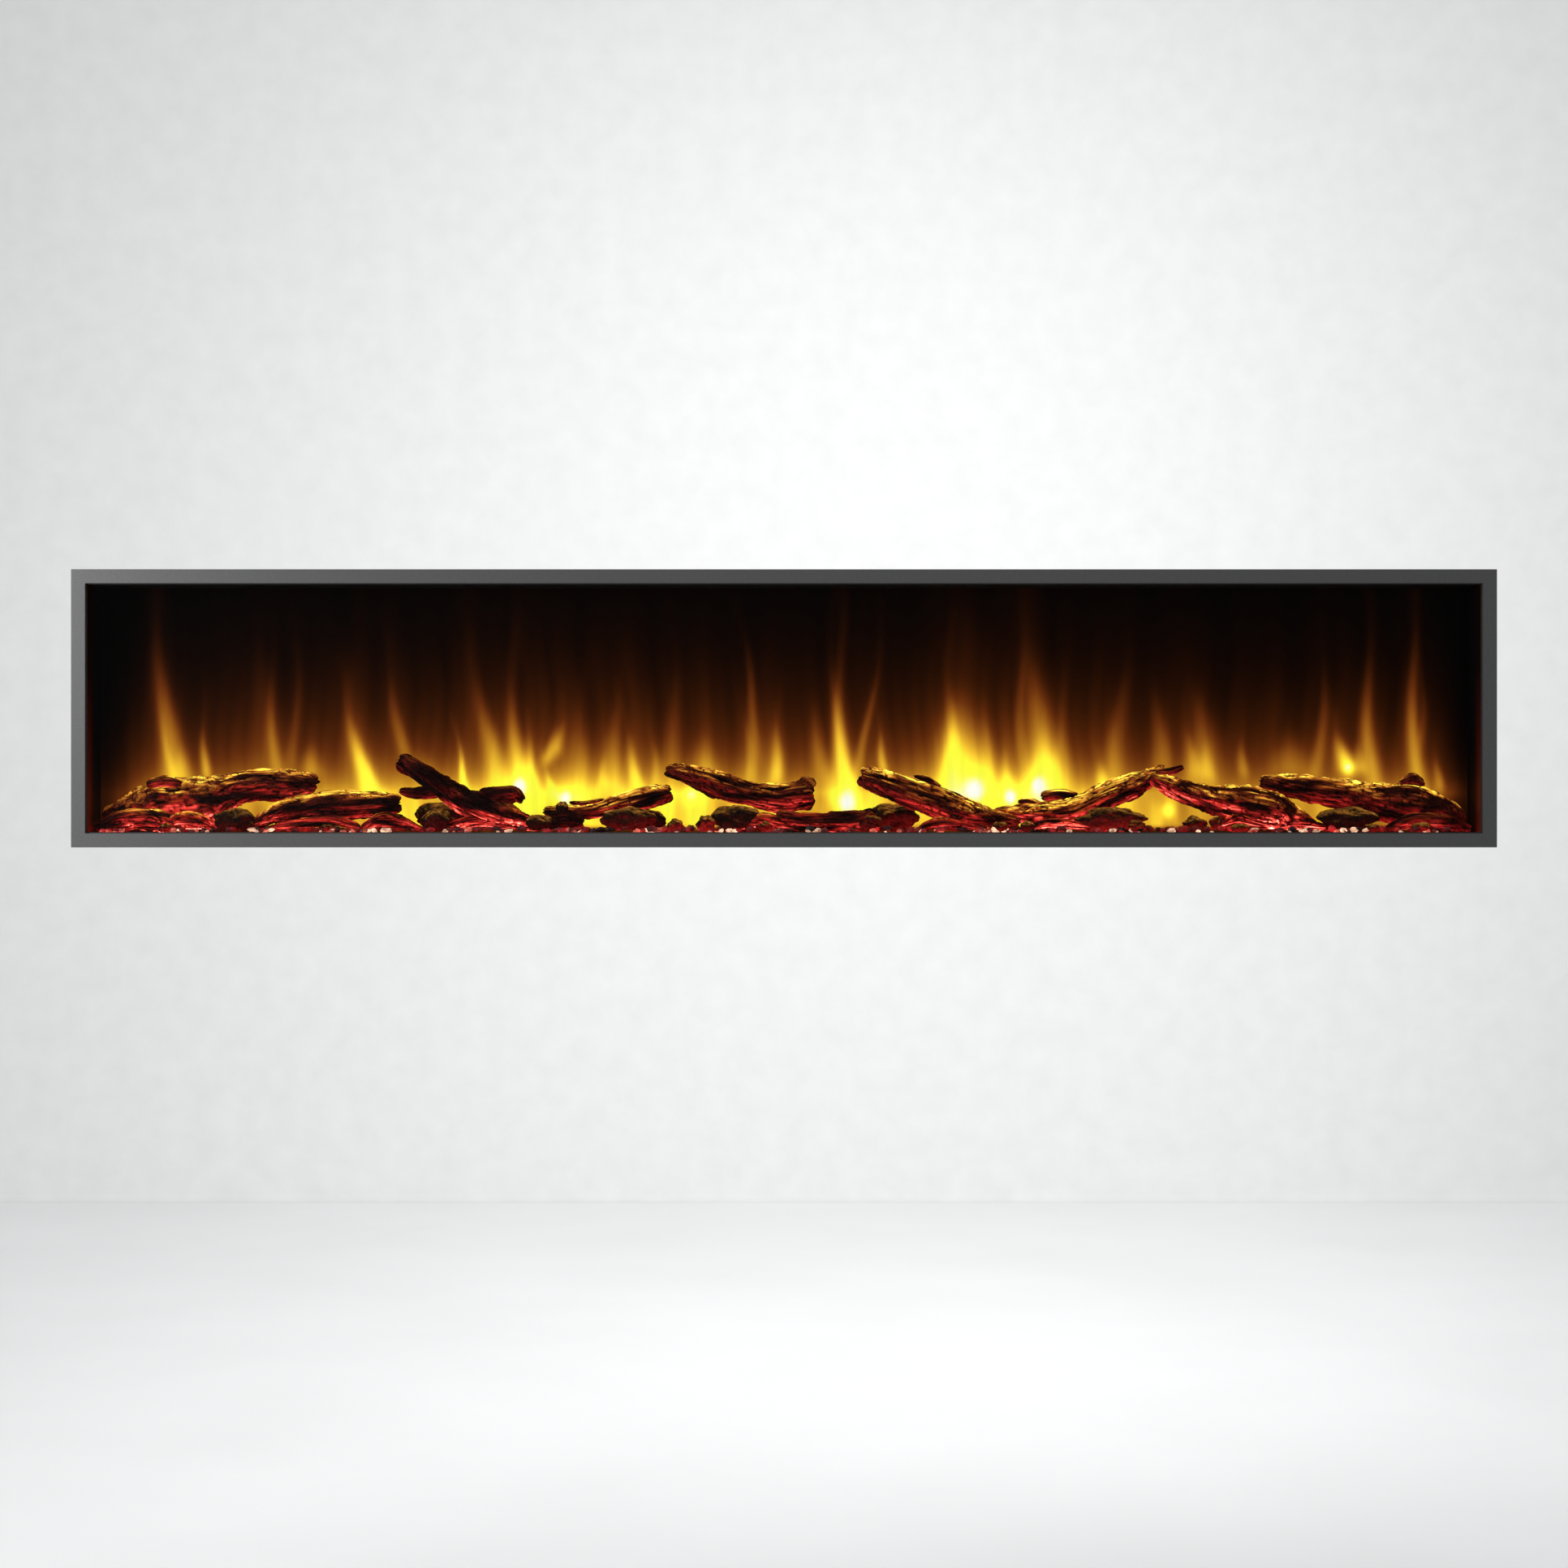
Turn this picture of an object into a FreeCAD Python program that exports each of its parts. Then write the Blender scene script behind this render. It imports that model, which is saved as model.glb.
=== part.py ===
import FreeCAD, Part
import math
import os
import re
import Sketcher

# Built-in electric fireplace with a sheet-metal trim, a glass front, a log bed and a rotor flame drive.
# Frame: +X right, +Y into the wall, +Z up. The wall plane is y = 0 and the front faces -Y.
# The origin is the centre of the four wall screws, which is the centre of the object in X and Z.

Vector = FreeCAD.Vector
Rotation = FreeCAD.Rotation
doc = FreeCAD.newDocument("electric_fireplace")
dims = doc.addObject("Spreadsheet::Sheet", "dims")
nodes = []

# ---------------------------------------------------------------- driving dimensions, millimetres

SIZES = {
    "overall_wide": 2035, "overall_high": 397, "overall_deep": 145,
    # trim frame: face ring, outer return towards the wall, inner lip round the opening
    "trim_face": 20, "trim_sheet": 1.5, "trim_return": 20, "trim_lip": 6, "trim_bend": 0.9,
    "slot_long": 60, "slot_pitch": 68, "slot_front": 141, "slot_rear": 129,
    "gasket_thick": 1, "gasket_peek": 1.5, "gasket_wide": 6,
    "glass_thick": 4, "glass_overlap": 5.5,
    "clip_sheet": 1.5, "clip_wide": 24, "clip_pitch": 440,
    "clip_tip": 0.5, "clip_inner": 8.5, "clip_outer": 10, "clip_foot": 17, "clip_play": 0.1,
    "clip_screw_radius": 2.4, "clip_screw_place": 13.5, "clip_screw_high": 1.6,
    "stud_radius": 2.5, "stud_place": 1008, "stud_pitch": 150, "stud_end": 128,
    "grommet_radius": 4.5, "grommet_front": 138,
    "running_gap": 0.08,
    # casing of folded sheet, hung on two channels screwed to the wall
    "casing_wide": 2000, "casing_high": 382, "casing_front": 131.8, "casing_sheet": 1.2,
    "casing_rear": 10, "rear_flange": 10, "flange_reach": 13, "flange_rise": 4.5, "flange_rear": 125,
    "flange_screw_wide": 2014, "flange_screw_high": 340, "flange_screw_radius": 2.25,
    "screw_head_radius": 3.4, "screw_head_high": 2, "screw_radius": 1.75, "screw_bite": 3.8,
    "screw_inset": 5.6,
    "vent_wide": 10, "vent_high": 40, "vent_pitch": 28, "vent_start": -330, "vent_low": -120,
    "vent_top": 130,
    "bracket_pitch": 812.8, "bracket_screw_pitch": 240, "bracket_screw_radius": 3.25,
    "bracket_wide": 40, "bracket_high": 300, "bracket_leg": 9.5, "bracket_sheet": 1.5,
    "pin_radius": 3, "pin_depth": 5.5, "pin_level": 60, "pin_play": 0.05,
    "notch_entry": 6, "notch_head": 14,
    "plate_half_wide": 30, "plate_half_high": 14, "plate_gap": 0.2, "ear_inner": 22, "ear_outer": 24,
    "ear_half_high": 7, "ear_end": 1.6,
    # firebox
    "ceiling_level": 178.5, "ceiling_sheet": 1.2, "side_thick": 2,
    "screen_front": 64, "screen_thick": 3, "screen_half_wide": 996, "screen_half_high": 178,
    "tray_level": 178, "tray_sheet": 2, "screen_gap": 0.2,
    "crystal_front": 131, "crystal_rear": 127.7, "crystal_start": -960, "crystal_pitch": 20.2,
    "log_front_row": 116, "log_middle_row": 100, "log_back_row": 86,
    "log_slimness": 0.72, "log_most_deep": 14,
    # flame drive behind the screen
    "mask_front": 55, "mask_sheet": 0.8, "mask_top": 60, "mask_half_wide": 990,
    "rotor_depth": 37, "rotor_level": -150, "rotor_rod": 2.5, "rotor_end": 950,
    "blade_wide": 27, "blade_long": 22, "blade_sheet": 0.5, "blade_pitch": 31, "blade_turn": 67,
    "blade_start": 34,
    "bush_radius": 4, "bush_half_long": 5, "motor_radius": 16, "motor_face": 961.5, "motor_long": 22,
    "coupler_radius": 5, "coupler_long": 10, "coupler_socket": 4, "shaft_radius": 2, "motor_bore": 6,
    "bracket_half_deep": 10, "bracket_plate": 1.5, "bracket_foot": 9, "bracket_above": 14,
    "led_board": 1.6, "led_height": 1.4, "led_size": 5, "led_pitch": 40,
    # fan heater at the top centre
    "heater_half_wide": 150, "heater_front": 59, "heater_rear": 14, "heater_floor": 95,
    "duct_floor": 180.2, "duct_half_wide": 160, "duct_front": 131, "heater_sheet": 1,
    "wheel_depth": 36.5, "wheel_level": 122, "wheel_radius": 18, "wheel_half_long": 120,
    "element_floor": 150, "element_high": 12, "element_half_wide": 140, "element_front": 58,
    "element_rear": 20,
    "element_bar": 5, "fin_sheet": 1.2, "fin_pitch": 12, "fin_first": -132,
    "intake_half_wide": 120, "intake_front": 50, "intake_rear": 24,
    "disc_sheet": 1.5, "fan_shaft": 2.5, "shaft_past": 8, "vane_long": 5, "vane_sheet": 0.8,
    "vane_inset": 0.3,
    "fan_motor_radius": 20, "fan_motor_long": 42, "fan_motor_plate": 2, "fan_motor_half_high": 22,
    # controls on the right edge
    "pod_inner": 1004.5, "pod_outer": 1015.5, "pod_front": 143, "pod_rear": 126.2,
    "pod_bottom": 30, "pod_top": 120, "pod_wall": 1.5,
    "button_size": 8, "button_gap": 0.3, "button_tip": 1016.8, "button_tail": 1010,
    "rocker_level": 103, "rocker_axis": 1012.5, "rocker_depth": 134.6, "trunnion_radius": 1,
    "pod_board_sheet": 1.2, "switch_high": 1.7, "switch_half": 2.5,
    "rocker_half_deep": 4, "rocker_half_high": 8.4, "trunnion_reach": 7.9,
    "collar_sheet": 1.5, "collar_gap": 0.3, "collar_rim": 1.2,
    "gland_depth": 38, "gland_level": -60, "gland_bore": 4.5, "gland_wall": 2.5, "gland_cap": 5,
    "gland_out": 12,
    "gland_nut": 5,
    # electronics behind the screen
    "board_left": 560, "board_right": 760, "board_floor": 60, "board_top": 150, "board_rear": 22.4,
    "board_front": 24, "post_radius": 3, "post_long": 10, "post_inset": 8,
}


def fill_sheet():
    """One row per driving dimension: its name, and its value under that alias."""
    for row, (alias, value) in enumerate(SIZES.items(), start=1):
        dims.set(f"A{row}", alias)
        dims.set(f"B{row}", str(value))
        dims.setAlias(f"B{row}", alias)
    doc.recompute()


fill_sheet()


def formula(text):
    """Turn 'overall_wide / 2' into an expression that reads the sheet."""
    def point_at_sheet(word):
        return ("dims." if word.group() in SIZES else "") + word.group()

    return re.sub(r"[a-z]\w+", point_at_sheet, str(text))


def number(text):
    """Value of a formula, for geometry that needs a first position."""
    return float(dims.evalExpression(formula(text)))


def bind(piece, **formulas):
    """Drive properties by formulas; an underscore pair in a name stands for a dot."""
    for name, text in formulas.items():
        piece.setExpression(name.replace("__", "."), formula(text))
    return piece


def place(piece, x, y, z):
    return bind(piece, Placement__Base__x=x, Placement__Base__y=y, Placement__Base__z=z)


def node(piece, label):
    """Name a finished sub-part and list it for export."""
    piece.Label = label
    nodes.append(piece)
    return piece


# ---------------------------------------------------------------- primitives and booleans

TURNS = {"x": Rotation(Vector(0, 1, 0), 90), "y": Rotation(Vector(1, 0, 0), -90), "z": Rotation()}


def block(x, y, z):
    """Box between two formulas on each axis."""
    piece = doc.addObject("Part::Box", "block")
    bind(piece, Length=f"({x[1]}) - ({x[0]})", Width=f"({y[1]}) - ({y[0]})", Height=f"({z[1]}) - ({z[0]})")
    return place(piece, x[0], y[0], z[0])


def rod(axis, radius, start, length):
    """Round bar from a start point along +X, +Y or +Z."""
    piece = doc.addObject("Part::Cylinder", "rod")
    piece.Placement = FreeCAD.Placement(Vector(), TURNS[axis])
    bind(piece, Radius=radius, Height=length)
    return place(piece, *start)


def join(pieces):
    piece = doc.addObject("Part::MultiFuse", "joined")
    piece.Shapes = pieces
    return piece


def group(pieces):
    """Separate solids kept in one sub-part."""
    piece = doc.addObject("Part::Compound", "group")
    piece.Links = pieces
    return piece


def cut(base, tools):
    piece = doc.addObject("Part::Cut", "cut")
    piece.Base = base
    piece.Tool = tools[0] if len(tools) == 1 else group(tools)
    return piece


# ---------------------------------------------------------------- bodies made from sketches

def body(label):
    return node(doc.addObject("PartDesign::Body", label), label)


def sketch_on(owner, role, offset="0"):
    """Sketch on an origin plane of its own body, moved along the plane's normal."""
    sketch = owner.newObject("Sketcher::SketchObject", "sketch")
    plane = [item for item in owner.Origin.OriginFeatures if item.Role == role][0]
    sketch.AttachmentSupport = [(plane, "")]
    sketch.MapMode = "FlatFace"
    return bind(sketch, AttachmentOffset__Base__z=offset)


def pin(sketch, kind, edge, point, text):
    """Hold one coordinate of a point at a formula measured from the sketch's origin."""
    value = number(text)
    if abs(value) < 1e-9:
        axis = -2 if kind == "DistanceX" else -1
        sketch.addConstraint(Sketcher.Constraint("PointOnObject", edge, point, axis))
        return
    index = sketch.addConstraint(Sketcher.Constraint(kind, -1, 1, edge, point, value))
    sketch.setExpression(f"Constraints[{index}]", formula(text))


def outline(sketch, corners):
    """Closed straight outline through corners given as formulas."""
    first = sketch.GeometryCount
    count = len(corners)
    spots = [Vector(number(u), number(v), 0) for u, v in corners]
    for i in range(count):
        sketch.addGeometry(Part.LineSegment(spots[i], spots[(i + 1) % count]))
    for i in range(count):
        sketch.addConstraint(Sketcher.Constraint("Coincident", first + i, 2, first + (i + 1) % count, 1))
    for i, (u, v) in enumerate(corners):
        pin(sketch, "DistanceX", first + i, 1, u)
        pin(sketch, "DistanceY", first + i, 1, v)


def rectangle(sketch, u, v):
    outline(sketch, [(u[0], v[0]), (u[1], v[0]), (u[1], v[1]), (u[0], v[1])])


def circle(sketch, u, v, radius):
    edge = sketch.addGeometry(Part.Circle(Vector(number(u), number(v), 0), Vector(0, 0, 1), number(radius)))
    pin(sketch, "DistanceX", edge, 3, u)
    pin(sketch, "DistanceY", edge, 3, v)
    index = sketch.addConstraint(Sketcher.Constraint("Radius", edge, number(radius)))
    sketch.setExpression(f"Constraints[{index}]", formula(radius))


def pad(owner, sketch, length, symmetric=False):
    feature = owner.newObject("PartDesign::Pad", "pad")
    feature.Profile = sketch
    if symmetric:
        feature.SideType = "Symmetric"
    return bind(feature, Length=length)


def pocket(owner, sketch, length, along_normal=True):
    """Cut a given depth, by default along the sketch's normal."""
    feature = owner.newObject("PartDesign::Pocket", "pocket")
    feature.Profile = sketch
    feature.Reversed = along_normal
    return bind(feature, Length=length)


def row_of(owner, sketch, feature, count, pitch):
    """Repeat a feature along its sketch's horizontal axis."""
    pattern = owner.newObject("PartDesign::LinearPattern", "row")
    pattern.Originals = [feature]
    pattern.Direction = (sketch, ["H_Axis"])
    pattern.Occurrences = count
    bind(pattern, Length=f"({pitch}) * {count - 1}")
    owner.Tip = pattern
    return pattern


def span(half, middle="0"):
    """Range of a given half-width about a middle."""
    return (f"{middle} - ({half})", f"{middle} + ({half})")


# ---------------------------------------------------------------- front frame, pulled off as one

FRONT = "-overall_deep"
TRIM_BACK = "-overall_deep + trim_sheet"
OPEN_X = "overall_wide / 2 - trim_face"
OPEN_Z = "overall_high / 2 - trim_face"
GASKET_FRONT = "-overall_deep + trim_lip"
GLASS_FRONT = f"{GASKET_FRONT} + gasket_thick"
GLASS_BACK = f"{GLASS_FRONT} + glass_thick"


def make_front_trim():
    """Folded face ring with an outer return, an inner lip, air slots and a notch for the controls."""
    trim = body("front_trim")
    rear = "overall_deep - trim_return"
    face = sketch_on(trim, "XZ_Plane", rear)
    rectangle(face, span("overall_wide / 2"), span("overall_high / 2"))
    shell = pad(trim, face, "trim_return")
    doc.recompute()
    round_front_edges(trim, shell)
    hollow = sketch_on(trim, "XZ_Plane", rear)
    rectangle(hollow, span("overall_wide / 2 - trim_sheet"), span("overall_high / 2 - trim_sheet"))
    pocket(trim, hollow, "trim_return - trim_sheet")
    lip = sketch_on(trim, "XZ_Plane", "overall_deep - trim_lip")
    rectangle(lip, span(f"{OPEN_X} + trim_sheet"), span(f"{OPEN_Z} + trim_sheet"))
    rectangle(lip, span(OPEN_X), span(OPEN_Z))
    pad(trim, lip, "trim_lip - trim_sheet / 2")
    opening = sketch_on(trim, "XZ_Plane", rear)
    rectangle(opening, span(OPEN_X), span(OPEN_Z))
    pocket(trim, opening, "trim_return + trim_sheet")
    rows = ((5, "-900"), (8, "-slot_pitch * 3.5 - slot_long / 2"), (5, "900 - 4 * slot_pitch - slot_long"))
    for count, start in rows:
        slot = sketch_on(trim, "XY_Plane", "overall_high / 2 - 6")
        rectangle(slot, (start, f"{start} + slot_long"), ("-slot_front", "-slot_rear"))
        row_of(trim, slot, pocket(trim, slot, "8"), count, "slot_pitch")
    notch = sketch_on(trim, "YZ_Plane", "overall_wide / 2 - 5")
    rectangle(notch, ("-slot_front", "-flange_rear + 1"), ("pod_bottom - 2", "pod_top + 2"))
    pocket(trim, notch, "8")


def round_front_edges(trim, shell):
    """Small bend radius where the face turns into the return."""
    front = number(FRONT)
    names = []
    for index, edge in enumerate(shell.Shape.Edges, start=1):
        if all(abs(vertex.Point.y - front) < 0.01 for vertex in edge.Vertexes):
            names.append(f"Edge{index}")
    bend = trim.newObject("PartDesign::Fillet", "bend")
    bend.Base = (shell, names)
    bind(bend, Radius="trim_bend")


def make_glass():
    gasket = body("glass_gasket")
    ring = sketch_on(gasket, "XZ_Plane", f"-({GLASS_FRONT})")
    for reach in ("gasket_wide - gasket_peek", "-gasket_peek"):
        rectangle(ring, span(f"{OPEN_X} + {reach}"), span(f"{OPEN_Z} + {reach}"))
    pad(gasket, ring, "gasket_thick")
    glass = body("glass_panel")
    pane = sketch_on(glass, "XZ_Plane", f"-({GLASS_BACK})")
    rectangle(pane, span(f"{OPEN_X} + glass_overlap"), span(f"{OPEN_Z} + glass_overlap"))
    pad(glass, pane, "glass_thick")


def make_glass_clips():
    """Z-shaped clips along the top and bottom, each with a screw into the trim's face."""
    clips = []
    screws = []
    for side in (1, -1):
        for i in range(-2, 3):
            across = span("clip_wide / 2", f"({i} * clip_pitch)")
            behind = f"{GLASS_BACK} + clip_play"
            foot = zed(across, side, ("clip_outer", "clip_foot"), (TRIM_BACK, f"{TRIM_BACK} + clip_sheet"))
            web = zed(across, side, ("clip_inner", "clip_outer"), (TRIM_BACK, f"{behind} + clip_sheet"))
            hook = zed(across, side, ("clip_tip", "clip_inner"), (behind, f"{behind} + clip_sheet"))
            clips.append(join([foot, web, hook]))
            level = f"{side} * ({OPEN_Z} + clip_screw_place)"
            spot = (f"{i} * clip_pitch", f"{TRIM_BACK} + clip_sheet", level)
            screws.append(rod("y", "clip_screw_radius", spot, "clip_screw_high"))
    node(group(clips), "glass_clips")
    node(group(screws), "clip_screws")


def zed(across, side, reach, depth):
    """One flat of a clip, between two distances outside the opening's edge."""
    low, high = [f"{side} * ({OPEN_Z} + {distance})" for distance in reach]
    return block(across, depth, (low, high) if side > 0 else (high, low))


def make_front_studs():
    """Push-fit studs on the trim's face, and the rubber grommets that hold them."""
    studs = []
    grommets = []
    for side in (1, -1):
        for row in (-1, 0, 1):
            spot = (f"{side} * stud_place", TRIM_BACK, f"{row} * stud_pitch")
            studs.append(rod("y", "stud_radius", spot, "overall_deep - trim_sheet - stud_end"))
            seat = (spot[0], "-grommet_front", spot[2])
            sleeve = rod("y", "grommet_radius", seat, "grommet_front - flange_rear - casing_sheet")
            mouth = (spot[0], "-grommet_front - 1", spot[2])
            bore = rod("y", "stud_radius + running_gap", mouth, "grommet_front + 1 - stud_end + 0.5")
            grommets.append(cut(sleeve, [bore]))
    node(group(studs), "front_studs")
    node(group(grommets), "stud_grommets")


# ---------------------------------------------------------------- casing and wall mounting

CASE_X = "casing_wide / 2"
CASE_Z = "casing_high / 2"


def make_casing_lid(label, side):
    """Top or bottom sheet with a flange folded towards the middle at the rear."""
    lid = body(label)
    sheet = sketch_on(lid, "YZ_Plane")
    rectangle(sheet, ("-casing_front", "-casing_rear"),
              (f"{side} * ({CASE_Z} - casing_sheet)", f"{side} * ({CASE_Z})"))
    pad(lid, sheet, "casing_wide", symmetric=True)
    flange = sketch_on(lid, "YZ_Plane")
    rectangle(flange, ("-casing_rear - casing_sheet", "-casing_rear"),
              (f"{side} * ({CASE_Z} - rear_flange)", f"{side} * ({CASE_Z} - casing_sheet)"))
    pad(lid, flange, "casing_wide - 2 * casing_sheet", symmetric=True)


def make_casing_side(label, side):
    """End sheet; the right one has the hole for the cable gland."""
    wall = body(label)
    sheet = sketch_on(wall, "XY_Plane")
    rectangle(sheet, (f"{side} * ({CASE_X} - casing_sheet)", f"{side} * ({CASE_X})"),
              ("-casing_front", "-casing_rear"))
    pad(wall, sheet, "casing_high - 2 * casing_sheet", symmetric=True)
    flange = sketch_on(wall, "XY_Plane")
    rectangle(flange, (f"{side} * ({CASE_X} - rear_flange)", f"{side} * ({CASE_X} - casing_sheet)"),
              ("-casing_rear - casing_sheet", "-casing_rear"))
    pad(wall, flange, "casing_high - 2 * rear_flange", symmetric=True)
    if side > 0:
        hole = sketch_on(wall, "YZ_Plane", f"{CASE_X} - 3")
        circle(hole, "-gland_depth", "gland_level", "gland_bore + gland_wall")
        pocket(wall, hole, "6")


def make_casing_back():
    """Rear sheet with two rows of cooling slots."""
    back = body("casing_back")
    sheet = sketch_on(back, "XZ_Plane", "casing_rear + casing_sheet")
    rectangle(sheet, span(f"{CASE_X} - casing_sheet"), span(f"{CASE_Z} - casing_sheet"))
    pad(back, sheet, "casing_sheet")
    for level in ("vent_low", "vent_top"):
        slot = sketch_on(back, "XZ_Plane", "casing_rear")
        rectangle(slot, ("vent_start", "vent_start + vent_wide"), span("vent_high / 2", level))
        row_of(back, slot, pocket(back, slot, "5"), 24, "vent_pitch")


def make_wall_flange():
    """Ring round the casing that lies on the wall's face, with a screw hole near each corner."""
    flange = body("wall_flange")
    ring = sketch_on(flange, "XZ_Plane", "flange_rear")
    rectangle(ring, span(f"{CASE_X} + flange_reach"), span(f"{CASE_Z} + flange_rise"))
    rectangle(ring, span(CASE_X), span(CASE_Z))
    for side_x in (1, -1):
        for side_z in (1, -1):
            circle(ring, f"{side_x} * flange_screw_wide / 2", f"{side_z} * flange_screw_high / 2",
                   "flange_screw_radius")
    pad(flange, ring, "casing_sheet")


def make_casing_screws():
    """Thread-forming screws through the rear flanges into the back sheet."""
    screws = []
    spots = [(x, f"{side} * ({CASE_Z} - screw_inset)") for side in (1, -1) for x in range(-900, 901, 300)]
    spots += [(f"{side} * ({CASE_X} - screw_inset)", z) for side in (1, -1) for z in (-110, 0, 110)]
    for x, z in spots:
        head = rod("y", "screw_head_radius", (x, "-casing_rear", z), "screw_head_high")
        shank = rod("y", "screw_radius", (x, "-casing_rear - screw_bite", z), "screw_bite + 0.5")
        screws.append(join([head, shank]))
    node(group(screws), "casing_screws")


def make_wall_bracket(label, side):
    """Upright channel screwed to the wall, with notches in its legs that take the hanging pins."""
    middle = f"({side} * bracket_pitch / 2)"
    half = "bracket_wide / 2"
    rail = body(label)
    profile = sketch_on(rail, "XY_Plane")
    outline(profile, [(f"{middle} - {half}", "0"), (f"{middle} - {half}", "-bracket_leg"),
                      (f"{middle} - {half} + bracket_sheet", "-bracket_leg"),
                      (f"{middle} - {half} + bracket_sheet", "-bracket_sheet"),
                      (f"{middle} + {half} - bracket_sheet", "-bracket_sheet"),
                      (f"{middle} + {half} - bracket_sheet", "-bracket_leg"),
                      (f"{middle} + {half}", "-bracket_leg"), (f"{middle} + {half}", "0")])
    pad(rail, profile, "bracket_high", symmetric=True)
    holes = sketch_on(rail, "XZ_Plane", "-1")
    for row in (1, -1):
        circle(holes, middle, f"{row} * bracket_screw_pitch / 2", "bracket_screw_radius")
    pocket(rail, holes, "4")
    notch = sketch_on(rail, "YZ_Plane", f"{middle} - {half} - 1")
    for row in (1, -1):
        seat = f"({row} * pin_level)"
        low = f"{seat} - pin_radius - pin_play"
        near = "-pin_depth + pin_radius + pin_play"
        far = "-pin_depth - pin_radius - pin_play"
        entry, head, edge = f"{seat} + notch_entry", f"{seat} + notch_head", "-bracket_leg - 1"
        outline(notch, [(far, low), (near, low), (near, head), (edge, head), (edge, entry), (far, entry)])
    pocket(rail, notch, "bracket_wide + 2")


def make_hang_plates():
    """Plates on the back sheet with two ears each, and a pin between the ears."""
    plates = []
    for side in (1, -1):
        for row in (1, -1):
            middle = f"({side} * bracket_pitch / 2)"
            level = f"({row} * pin_level)"
            face = "-bracket_leg - plate_gap"
            plate = block(span("plate_half_wide", middle), ("-casing_rear - casing_sheet", face),
                          span("plate_half_high", level))
            high = span("ear_half_high", level)
            ears = [block((f"{middle} + {a}", f"{middle} + {b}"), (face, "-ear_end"), high)
                    for a, b in (("-ear_outer", "-ear_inner"), ("ear_inner", "ear_outer"))]
            bar = rod("x", "pin_radius", (f"{middle} - ear_outer", "-pin_depth", level), "2 * ear_outer")
            plates.append(join([plate, bar] + ears))
    node(group(plates), "hang_plates")


def make_cable_gland():
    """Round gland in the right end, open along X for the supply cable."""
    spot = ("-gland_depth", "gland_level")
    outer = rod("x", "gland_bore + gland_cap", (CASE_X, *spot), "gland_out")
    neck = rod("x", "gland_bore + gland_wall", (f"{CASE_X} - 8", *spot), 9)
    inside = f"{CASE_X} - casing_sheet - gland_nut"
    nut = rod("x", "gland_bore + gland_cap - 0.5", (inside, *spot), "gland_nut")
    bore = rod("x", "gland_bore", (f"{CASE_X} - 9", *spot), "gland_out + 10")
    node(cut(join([outer, neck, nut]), [bore]), "cable_gland")


# ---------------------------------------------------------------- firebox

SCREEN_BACK = "-screen_front + screen_thick"


def make_firebox():
    ceiling = block(span(f"{CASE_X} - casing_sheet"), ("-casing_front", SCREEN_BACK),
                    ("ceiling_level", "ceiling_level + ceiling_sheet"))
    node(ceiling, "firebox_ceiling")
    inner = f"({CASE_X} - casing_sheet - side_thick)"
    outer = f"({CASE_X} - casing_sheet)"
    deep = ("-casing_front", "-screen_front - screen_gap")
    high = ("-tray_level", "ceiling_level")
    node(block((f"-{outer}", f"-{inner}"), deep, high), "side_panel_left")
    node(block((inner, outer), deep, high), "side_panel_right")
    screen = body("flame_screen")
    sheet = sketch_on(screen, "XZ_Plane", f"-({SCREEN_BACK})")
    rectangle(sheet, span("screen_half_wide"), span("screen_half_high"))
    pad(screen, sheet, "screen_thick")
    tray = body("ember_tray")
    floor = f"-{CASE_Z} + casing_sheet"
    profile = sketch_on(tray, "YZ_Plane")
    front, rear = "-casing_front", "-screen_front - screen_gap"
    outline(profile, [(front, floor), (front, "-tray_level"), (rear, "-tray_level"), (rear, floor),
                      (f"{rear} - tray_sheet", floor), (f"{rear} - tray_sheet", "-tray_level - tray_sheet"),
                      (f"{front} + tray_sheet", "-tray_level - tray_sheet"),
                      (f"{front} + tray_sheet", floor)])
    pad(tray, profile, "casing_wide - 2 * casing_sheet - 0.4", symmetric=True)


def make_ember_crystals():
    """A row of small cut pieces along the front edge of the tray."""
    crystals = []
    for i in range(96):
        high = 4 + 2.5 * math.sin(2.3 * i) ** 2
        wide = 3 + 2 * math.cos(1.7 * i) ** 2
        across = span(wide, f"(crystal_start + crystal_pitch * {i})")
        crystals.append(block(across, ("-crystal_front", "-crystal_rear"),
                              ("-tray_level", f"-tray_level + {high}")))
    node(group(crystals), "ember_crystals")


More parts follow.
